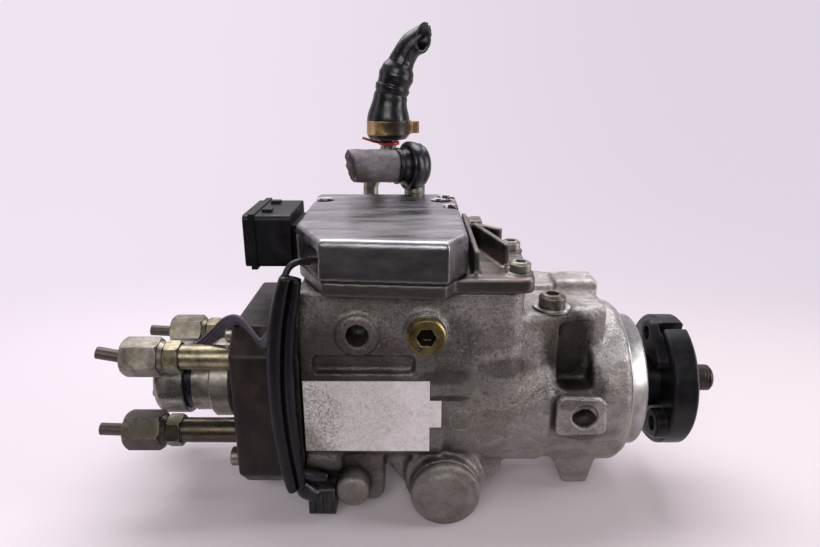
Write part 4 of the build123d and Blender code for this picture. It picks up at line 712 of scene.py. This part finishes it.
# how far an outline lies from a centre in one direction
def reachOf(corners, centre, dx, dz):
    cx, cz = centre
    slack, parallel, best = 1e-6, 1e-9, math.inf
    for (x0, z0), (x1, z1) in zip(corners, corners[1:] + corners[:1]):
        ex, ez = x1 - x0, z1 - z0
        det = dx * ez - dz * ex
        if abs(det) < parallel:
            continue
        along = ((x0 - cx) * ez - (z0 - cz) * ex) / det
        where = ((x0 - cx) * dz - (z0 - cz) * dx) / det
        if along > 0 and -slack <= where <= 1 + slack:
            best = min(best, along)
    return best


# the machined pad round the bracket's hole, a chamfered block with the hole left open
def makeBracketPad(s):
    cx, cz = s["centre"]
    around, back, front, chamfer, hole = s["around"], s["y0"], s["y1"], s["chamfer"], s["hole"]
    outline = []
    for k in range(around):
        t = 2 * math.pi * k / around
        dx, dz = math.cos(t), math.sin(t)
        outline.append((dx, dz, reachOf(s["corners"], s["centre"], dx, dz)))
    rows = [(back, 0.0, False), (front + chamfer, 0.0, False), (front, -s["inset"], False),
            (front, hole + chamfer, True), (front + chamfer, hole, True), (back, hole, True)]
    points = []
    for y, size, inHole in rows:
        for dx, dz, reach in outline:
            r = size if inHole else reach + size
            points.append((cx + dx * r, y, cz + dz * r))
    faces = gridFaces(len(rows), around, joined=True)
    meshObject("bracket_pad", points, faces, "machined_aluminium", smooth=False,
               material=finishes["pump_housing_pad"])


makeBracketPad(bracketPad)

corePlug = dict(
    place=(-82.0, -43.85, -0.4), disc=4.7, slot=0.75, back=1.0, front=0.1, steps=24,
    rim=[(-1.0, 4.9), (-1.0, 5.6), (-0.2, 5.6), (0.15, 5.3), (0.15, 5.05), (-0.25, 4.9), (-0.6, 4.85)])


# a core plug: a turned rim round two half discs, with the slot left open between them
def makeCorePlug(s):
    x, y, z = s["place"]
    turned("core_plug_rim", s["rim"], s["place"], (0, -1, 0), "cast_aluminium", around=48)
    for number, side in ((1, 1), (2, -1)):
        outline = []
        for k in range(s["steps"] + 1):
            t = math.pi * k / s["steps"]
            rise = s["slot"] + max(0.0, s["disc"] * math.sin(t) - s["slot"])
            outline.append((x + s["disc"] * math.cos(t), z + side * rise))
        points = [(a, y + depth, b) for depth in (s["back"], s["front"]) for a, b in outline]
        meshObject("core_plug_half_%d" % number, points, gridFaces(2, len(outline)), "cast_aluminium",
                   smooth=False)


makeCorePlug(corePlug)
print("hoses made")


hoseClamp = dict(
    centre=(-119.5, 80.5, 0), inner=12.66, outer=13.35, z0=120.5, z1=128.5,
    edge=[(0.0, -0.1), (0.25, 0.05), (0.9, -0.15)], earSunk=0.4, earInset=0.6,
    ear=[(0, 3.4), (1.2, 1.87), (4.2, 2.108), (5.2, 0.85)], earHollow=[(0, 2.5), (1.6, 0.85), (3.9, 1.02)],
    look=dict(
        name="clampZinc", metal=0.75, dark=(0.28, 0.17, 0.07), light=(0.6, 0.42, 0.2), mottleScale=160,
        grime=(0.7, (0.05, 0.036, 0.025), 150),
        # the dark patch over the band's right side is painted shadow
        patches=[((-112, 68, 124), (9, 8, 9), 0.93, (0.018, 0.015, 0.016))], edgeWearAndHighlight=(0.5, (0.75, 0.62, 0.4)),
        gloss=(0.3, 0.5), grain=[(1500, 0.15, 0.2)], edgeRadius=0.4))


# the clamp's band with rolled edges, and its pinched ear
def makeHoseClamp(s):
    r0, r1, z0, z1 = s["inner"], s["outer"], s["z0"], s["z1"]
    gilt = surface(s["look"])
    low = [(z0 + a, r1 + b) for a, b in s["edge"]]
    high = [(z1 - a, r1 + b) for a, b in reversed(s["edge"])]
    profile = [(z0, r0)] + low + high + [(z1, r0)]
    band = turned("hose_clamp_band", profile, s["centre"], (0, 0, 1), "yellow_zinc", around=96,
                  material=gilt)
    x, y = s["centre"][0] + r1 - s["earSunk"], s["centre"][1]
    outline = [(a, -b) for a, b in s["ear"]] + s["ear"][::-1]
    outline += s["earHollow"] + [(a, -b) for a, b in reversed(s["earHollow"])]
    points = [(x + a, y + b, z) for z in (z0 + s["earInset"], z1 - s["earInset"]) for a, b in outline]
    meshObject("hose_clamp_ear", points, gridFaces(2, len(outline)), "yellow_zinc", smooth=False,
               material=gilt)
    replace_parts(band, "hose_clamps")


makeHoseClamp(hoseClamp)


redTie = dict(
    radius=5.9, z=115.2, width=0.75, flat=0.5,
    section=[(-1.0, -1.25), (-1.1, 0.0), (-0.7, 0.45), (0.7, 0.45), (1.1, 0.0), (1.0, -1.25)],
    tail=[(-125.2, 78.5, 115.6), (-128.5, 77.2, 116.4), (-132.0, 76.6, 117.6), (-135.2, 76.6, 118.6)],
    look=dict(
        name="redTiePlastic", dark=(0.27, 0.0108, 0.0132), light=(0.45, 0.018, 0.022), mottleScale=200,
        gloss=(0.3, 0.45), grain=[(900, 0.1, 0.1)], edgeRadius=0.2))


# the red tie round the pipe under the clamp, with its loose tail
def makeRedTie(s):
    red = surface(s["look"])
    profile = [(s["z"] + a, s["radius"] + b) for a, b in s["section"]]
    turned("red_tie_loop", profile, hoseClamp["centre"], (0, 0, 1), "black_plastic", material=red)
    bar("red_tie_tail", s["tail"], even(s["width"]), "black_plastic", around=10, steps=6, material=red,
        side=(0, 0, 1), flat=s["flat"])


makeRedTie(redTie)


ribbon = dict(
    path=[(-161.0, -46.6, 62.0), (-162.6, -46.8, 56.0), (-167.8, -46.0, 44.3), (-173.6, -42.4, 38.6),
          (-179.4, -38.0, 42.6), (-185.1, -34.0, 46.4), (-192.3, -29.0, 43.5), (-201.0, -22.0, 34.8),
          (-209.5, -14.0, 26.3), (-215.5, -6.2, 20.0)], cores=4, pitch=1.5, coreR=0.8, web=0.5, facets=6,
    steps=9)


# flat cable: round cores side by side with thin webs between them
def makeRibbon(s):
    frames = framesAlong(smoothRun(s["path"], s["steps"]), (0, 1, 0))
    half = s["cores"] * s["pitch"] / 2
    outline = []
    steps = s["cores"] * s["facets"]
    for sign in (1, -1):
        for n in range(steps + 1):
            v = -half + 2 * half * n / steps
            phase = ((v + half) / s["pitch"]) % 1.0
            lift = s["web"] + (s["coreR"] - s["web"]) * math.sqrt(max(0.0, 1 - (2 * phase - 1) ** 2))
            outline.append((sign * lift, sign * v))
    points = []
    for p, ahead, across, up in frames:
        points += [p + across * a + up * b for a, b in outline]
    return meshObject("ribbon_cores", points, gridFaces(len(frames), len(outline)), "violet_cable")


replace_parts(makeRibbon(ribbon), "ribbon_cable")


cableSheath = dict(
    path=[(-157.6, -47.4, 71.6), (-160.2, -47.4, 61.5), (-162.9, -47.5, 47.3), (-164.8, -47.6, 27.7),
          (-165.0, -47.6, 7.2), (-163.5, -47.5, -14.2), (-160.8, -47.3, -35.4)],
    lobes=[(-2.6, 3.6, 3.3), (3.7, 2.3, 2.3)], halfWidth=6.2, skirt=0.7, facets=48, steps=10,
    back=[(0.96, -2.2), (0.6, -3.0), (-0.6, -3.0), (-0.96, -2.2)], narrow=0.72)


# a moulded sheath over the harness: a wide and a narrow ridge side by side, narrower at both ends
def makeSheath(s):
    frames = framesAlong(smoothRun(s["path"], s["steps"]), (1, 0, 0))
    width = s["halfWidth"]
    outline = []
    for n in range(s["facets"] + 1):
        v = -width + 2 * width * n / s["facets"]
        lift = max(high * math.sqrt(max(0.0, 1 - ((v - at) / half) ** 2)) for at, half, high in s["lobes"])
        outline.append((v, s["skirt"] + lift))
    outline += [(width * a, b) for a, b in s["back"]]
    points = []
    for n, (p, ahead, across, up) in enumerate(frames):
        t = n / (len(frames) - 1)
        scale = s["narrow"] + (1 - s["narrow"]) * math.sin(math.pi * t) ** 0.5
        front = up if up.y < 0 else -up
        points += [p + across * a * scale + front * b for a, b in outline]
    return meshObject("sheath_moulding", points, gridFaces(len(frames), len(outline)), "black_rubber",
                      material=finishes["cable_sheath"])


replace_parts(makeSheath(cableSheath), "cable_sheath")

sensorLead = dict(
    path=[(-151.0, -38.0, 76.0), (-155.0, -42.0, 77.2), (-158.4, -45.0, 75.6), (-160.6, -46.8, 71.0),
          (-161.9, -47.6, 65.2), (-162.4, -47.8, 58.0)], radius=1.5)
leadSkin = bar("sensor_lead_skin", sensorLead["path"], even(sensorLead["radius"]), slotOf["sensor_lead"],
               around=20)
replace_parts(leadSkin, "sensor_lead")

# the soft boot between the sheath's foot and the plug, and the moulded tongue to the plug's collar
harnessFoot = dict(
    plug_boot=dict(path=[(-159.5, -46.6, -33.5), (-156.5, -45.8, -37.5), (-152.6, -44.6, -41.0)],
                   radii=[(0, 3.4), (0.5, 4.4), (1, 4.0)]),
    plug_tongue=dict(path=[(-158.5, -45.6, -28.2), (-153.0, -44.6, -30.2), (-146.8, -43.6, -31.8)],
                     radii=[(0, 2.6), (0.5, 3.0), (1, 2.4)]))
for name, settings in harnessFoot.items():
    bar(name, settings["path"], settings["radii"], "black_rubber")
print("wiring made")


# runs a Geometry Nodes tree on a base mesh and keeps the result as a plain mesh
def bakeTree(tree, base, values, name, body):
    holder = addObject(name + "Holder", base)
    mod = holder.modifiers.new("tree", "NODES")
    mod.node_group = tree
    for item in tree.interface.items_tree:
        if item.item_type == "SOCKET" and item.in_out == "INPUT" and item.name in values:
            mod[item.identifier] = values[item.name]
    thing = addObject(name, bakedMesh(holder))
    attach(thing, body)


def newTree(name, labels):
    tree = bpy.data.node_groups.new(name, "GeometryNodeTree")
    tree.interface.new_socket(name="Geometry", in_out="INPUT", socket_type="NodeSocketGeometry")
    for label in labels:
        tree.interface.new_socket(name=label, in_out="INPUT", socket_type="NodeSocketFloat")
    tree.interface.new_socket(name="Geometry", in_out="OUTPUT", socket_type="NodeSocketGeometry")
    return tree, tree.nodes.new("NodeGroupInput"), tree.nodes.new("NodeGroupOutput")


def finishTree(tree, geometry, out, material):
    real = tree.nodes.new("GeometryNodeRealizeInstances")
    paint = tree.nodes.new("GeometryNodeSetMaterial")
    paint.inputs["Material"].default_value = material
    tree.links.new(geometry, real.inputs["Geometry"])
    tree.links.new(real.outputs["Geometry"], paint.inputs["Geometry"])
    tree.links.new(paint.outputs["Geometry"], out.inputs["Geometry"])


shaftThread = dict(rootRadius=6.72, crest=0.34, pitch=1.5, x0=38.2, x1=52.4, segments=40, sectionPoints=3)


# a screw thread as a spiral with a small pointed section, laid along the drive shaft
def makeShaftThread(s):
    tree, given, out = newTree("threadTree", ("Radius", "Length", "Turns", "Crest"))
    spiral = tree.nodes.new("GeometryNodeCurveSpiral")
    spiral.inputs["Resolution"].default_value = s["segments"]
    for socket, label in (("Start Radius", "Radius"), ("End Radius", "Radius"), ("Height", "Length"),
                          ("Rotations", "Turns")):
        tree.links.new(given.outputs[label], spiral.inputs[socket])
    section = tree.nodes.new("GeometryNodeCurvePrimitiveCircle")
    section.inputs["Resolution"].default_value = s["sectionPoints"]
    tree.links.new(given.outputs["Crest"], section.inputs["Radius"])
    sweep = tree.nodes.new("GeometryNodeCurveToMesh")
    sweep.inputs["Fill Caps"].default_value = True
    tree.links.new(spiral.outputs["Curve"], sweep.inputs["Curve"])
    tree.links.new(section.outputs["Curve"], sweep.inputs["Profile Curve"])
    turn = tree.nodes.new("GeometryNodeTransform")
    turn.inputs["Rotation"].default_value = (0, math.radians(90), 0)
    turn.inputs["Translation"].default_value = (s["x0"] * mm, 0, 0)
    tree.links.new(sweep.outputs["Mesh"], turn.inputs["Geometry"])
    finishTree(tree, turn.outputs["Geometry"], out, finishes["drive_shaft"])
    span = s["x1"] - s["x0"]
    values = {"Radius": s["rootRadius"] * mm, "Length": span * mm, "Turns": span / s["pitch"],
              "Crest": s["crest"] * mm}
    empty = bpy.data.meshes.new("empty")
    bakeTree(tree, empty, values, "shaft_thread_ridge", "drive")


makeShaftThread(shaftThread)
print("thread made")


# camera, light and floor
view = dict(
    focal=620.6, pitch=18.0, heading=0.27, place=(-0.105, -0.3006, 0.156), imageWidth=820, sensor=36.0)
camData = bpy.data.cameras.new("camera")
camData.sensor_width = view["sensor"]
camData.lens = view["sensor"] * view["focal"] / view["imageWidth"]
camData.clip_start = 0.01
cam = addObject("camera", camData)
cam.location = view["place"]
cam.rotation_euler = (math.radians(90 - view["pitch"]), 0, math.radians(view["heading"]))
bpy.context.scene.camera = cam


def areaLight(name, target, s):
    data = bpy.data.lights.new(name, "AREA")
    data.shape = "RECTANGLE"
    data.size, data.size_y = s["size"]
    data.energy = s["power"]
    data.color = s["colour"]
    lamp = addObject(name, data)
    lamp.location = s["place"]
    lamp.rotation_euler = (Vector(target) - Vector(s["place"])).to_track_quat("-Z", "Y").to_euler()


centre = (-0.1, 0.0, 0.0)
lamps = dict(
    topSoftbox=dict(place=(-0.12, 0.3, 0.62), size=(0.8, 0.5), power=7.2, colour=(0.985, 0.965, 1.0)),
    highFront=dict(place=(-0.2, -0.8, 0.52), size=(0.6, 0.35), power=4.6, colour=(1.0, 0.97, 0.965)),
    rightStrip=dict(place=(0.62, -0.12, 0.26), size=(0.25, 0.6), power=3.6, colour=(0.99, 0.97, 1.0)),
    leftStrip=dict(place=(-0.85, 0.05, 0.28), size=(0.25, 0.6), power=0.9, colour=(0.99, 0.97, 1.0)))
for name, settings in lamps.items():
    areaLight(name, centre, settings)

studio = dict(colour=(0.9, 0.86, 0.92, 1), strength=0.07)
world = bpy.data.worlds.new("studio")
bpy.context.scene.world = world
world.use_nodes = True
world.node_tree.nodes["Background"].inputs["Color"].default_value = studio["colour"]
world.node_tree.nodes["Background"].inputs["Strength"].default_value = studio["strength"]

# the sweep's profile and its tones, in metres
stage = dict(
    front=-1.6, bendFrom=0.7, bendRadius=0.6, bendSteps=12, top=2.2, sides=(-2.6, 2.4), under=0.0002,
    # the pale floor and its camera-seen glow run darker to the right: painted shade
    paleLeft=(0.74, 0.68, 0.73), paleRight=(0.62, 0.565, 0.585), paleBand=(-0.45, 0.15),
    glowLeft=(0.885, 0.8, 0.9), glowRight=(0.765, 0.69, 0.775), glowBand=(-0.7, 0.5),
    shade=(0.05, 0.045, 0.048), shadeBand=(-0.24, -0.12), nearShare=0.02, farShare=0.97,
    shareBand=(0.0, 0.42), glossShare=0.7, glossBand=(-0.1, 0.35), rough=0.8, specular=0.1)


# a table that runs up into a backdrop; its front part, behind the camera, falls off into the dark
def paleStage(s):
    mesh = bpy.data.meshes.new("sweep")
    bm = bmesh.new()
    start, radius, steps = s["bendFrom"], s["bendRadius"], s["bendSteps"]
    profile = [(s["front"], 0.0), (start, 0.0)]
    for n in range(1, steps + 1):
        angle = math.radians(90 * n / steps)
        profile.append((start + radius * math.sin(angle), radius - radius * math.cos(angle)))
    profile.append((start + radius, s["top"]))
    rows = []
    for y, z in profile:
        rows.append([bm.verts.new((x, y, z + lowCorner[2] - s["under"])) for x in s["sides"]])
    for a, b in zip(rows, rows[1:]):
        bm.faces.new((a[0], a[1], b[1], b[0]))
    bm.to_mesh(mesh)
    bm.free()
    for face in mesh.polygons:
        face.use_smooth = True
    sweep = addObject("sweep", mesh)
    mat, tree, shader, where = newMaterial("paleSweep")
    parts = tree.nodes.new("ShaderNodeSeparateXYZ")
    tree.links.new(where, parts.inputs["Vector"])

    def along(axis, band, a=0.0, b=1.0):
        node = tree.nodes.new("ShaderNodeMapRange")
        node.interpolation_type = "SMOOTHSTEP"
        for label, value in (("From Min", band[0]), ("From Max", band[1]), ("To Min", a), ("To Max", b)):
            node.inputs[label].default_value = value
        tree.links.new(parts.outputs[axis], node.inputs["Value"])
        return node.outputs["Result"]

    pale = mixColour(tree, along("X", s["paleBand"]), s["paleLeft"], s["paleRight"])
    colour = mixColour(tree, along("Y", s["shadeBand"]), s["shade"], pale)
    tree.links.new(colour, shader.inputs["Base Color"])
    shader.inputs["Roughness"].default_value = s["rough"]
    shader.inputs["Specular IOR Level"].default_value = s["specular"]
    path = tree.nodes.new("ShaderNodeLightPath")
    glow = tree.nodes.new("ShaderNodeEmission")
    bright = mixColour(tree, along("X", s["glowBand"]), s["glowLeft"], s["glowRight"])
    tree.links.new(bright, glow.inputs["Color"])
    share = along("Y", s["shareBand"], s["nearShare"], s["farShare"])
    seen = mathOf(tree, "MULTIPLY", path.outputs["Is Camera Ray"], share)
    mirrored = mathOf(tree, "MAXIMUM", path.outputs["Is Glossy Ray"], path.outputs["Is Transmission Ray"])
    mirrored = mathOf(tree, "MULTIPLY", mirrored, s["glossShare"])
    mirrored = mathOf(tree, "MULTIPLY", mirrored, along("Y", s["glossBand"]))
    mix = tree.nodes.new("ShaderNodeMixShader")
    tree.links.new(mathOf(tree, "MAXIMUM", seen, mirrored), mix.inputs["Fac"])
    tree.links.new(shader.outputs["BSDF"], mix.inputs[1])
    tree.links.new(glow.outputs["Emission"], mix.inputs[2])
    out = [n for n in tree.nodes if n.type == "OUTPUT_MATERIAL"][0]
    tree.links.new(mix.outputs["Shader"], out.inputs["Surface"])
    mesh.materials.append(mat)


paleStage(stage)
print("stage set")

bpy.context.scene.view_settings.view_transform = "Standard"
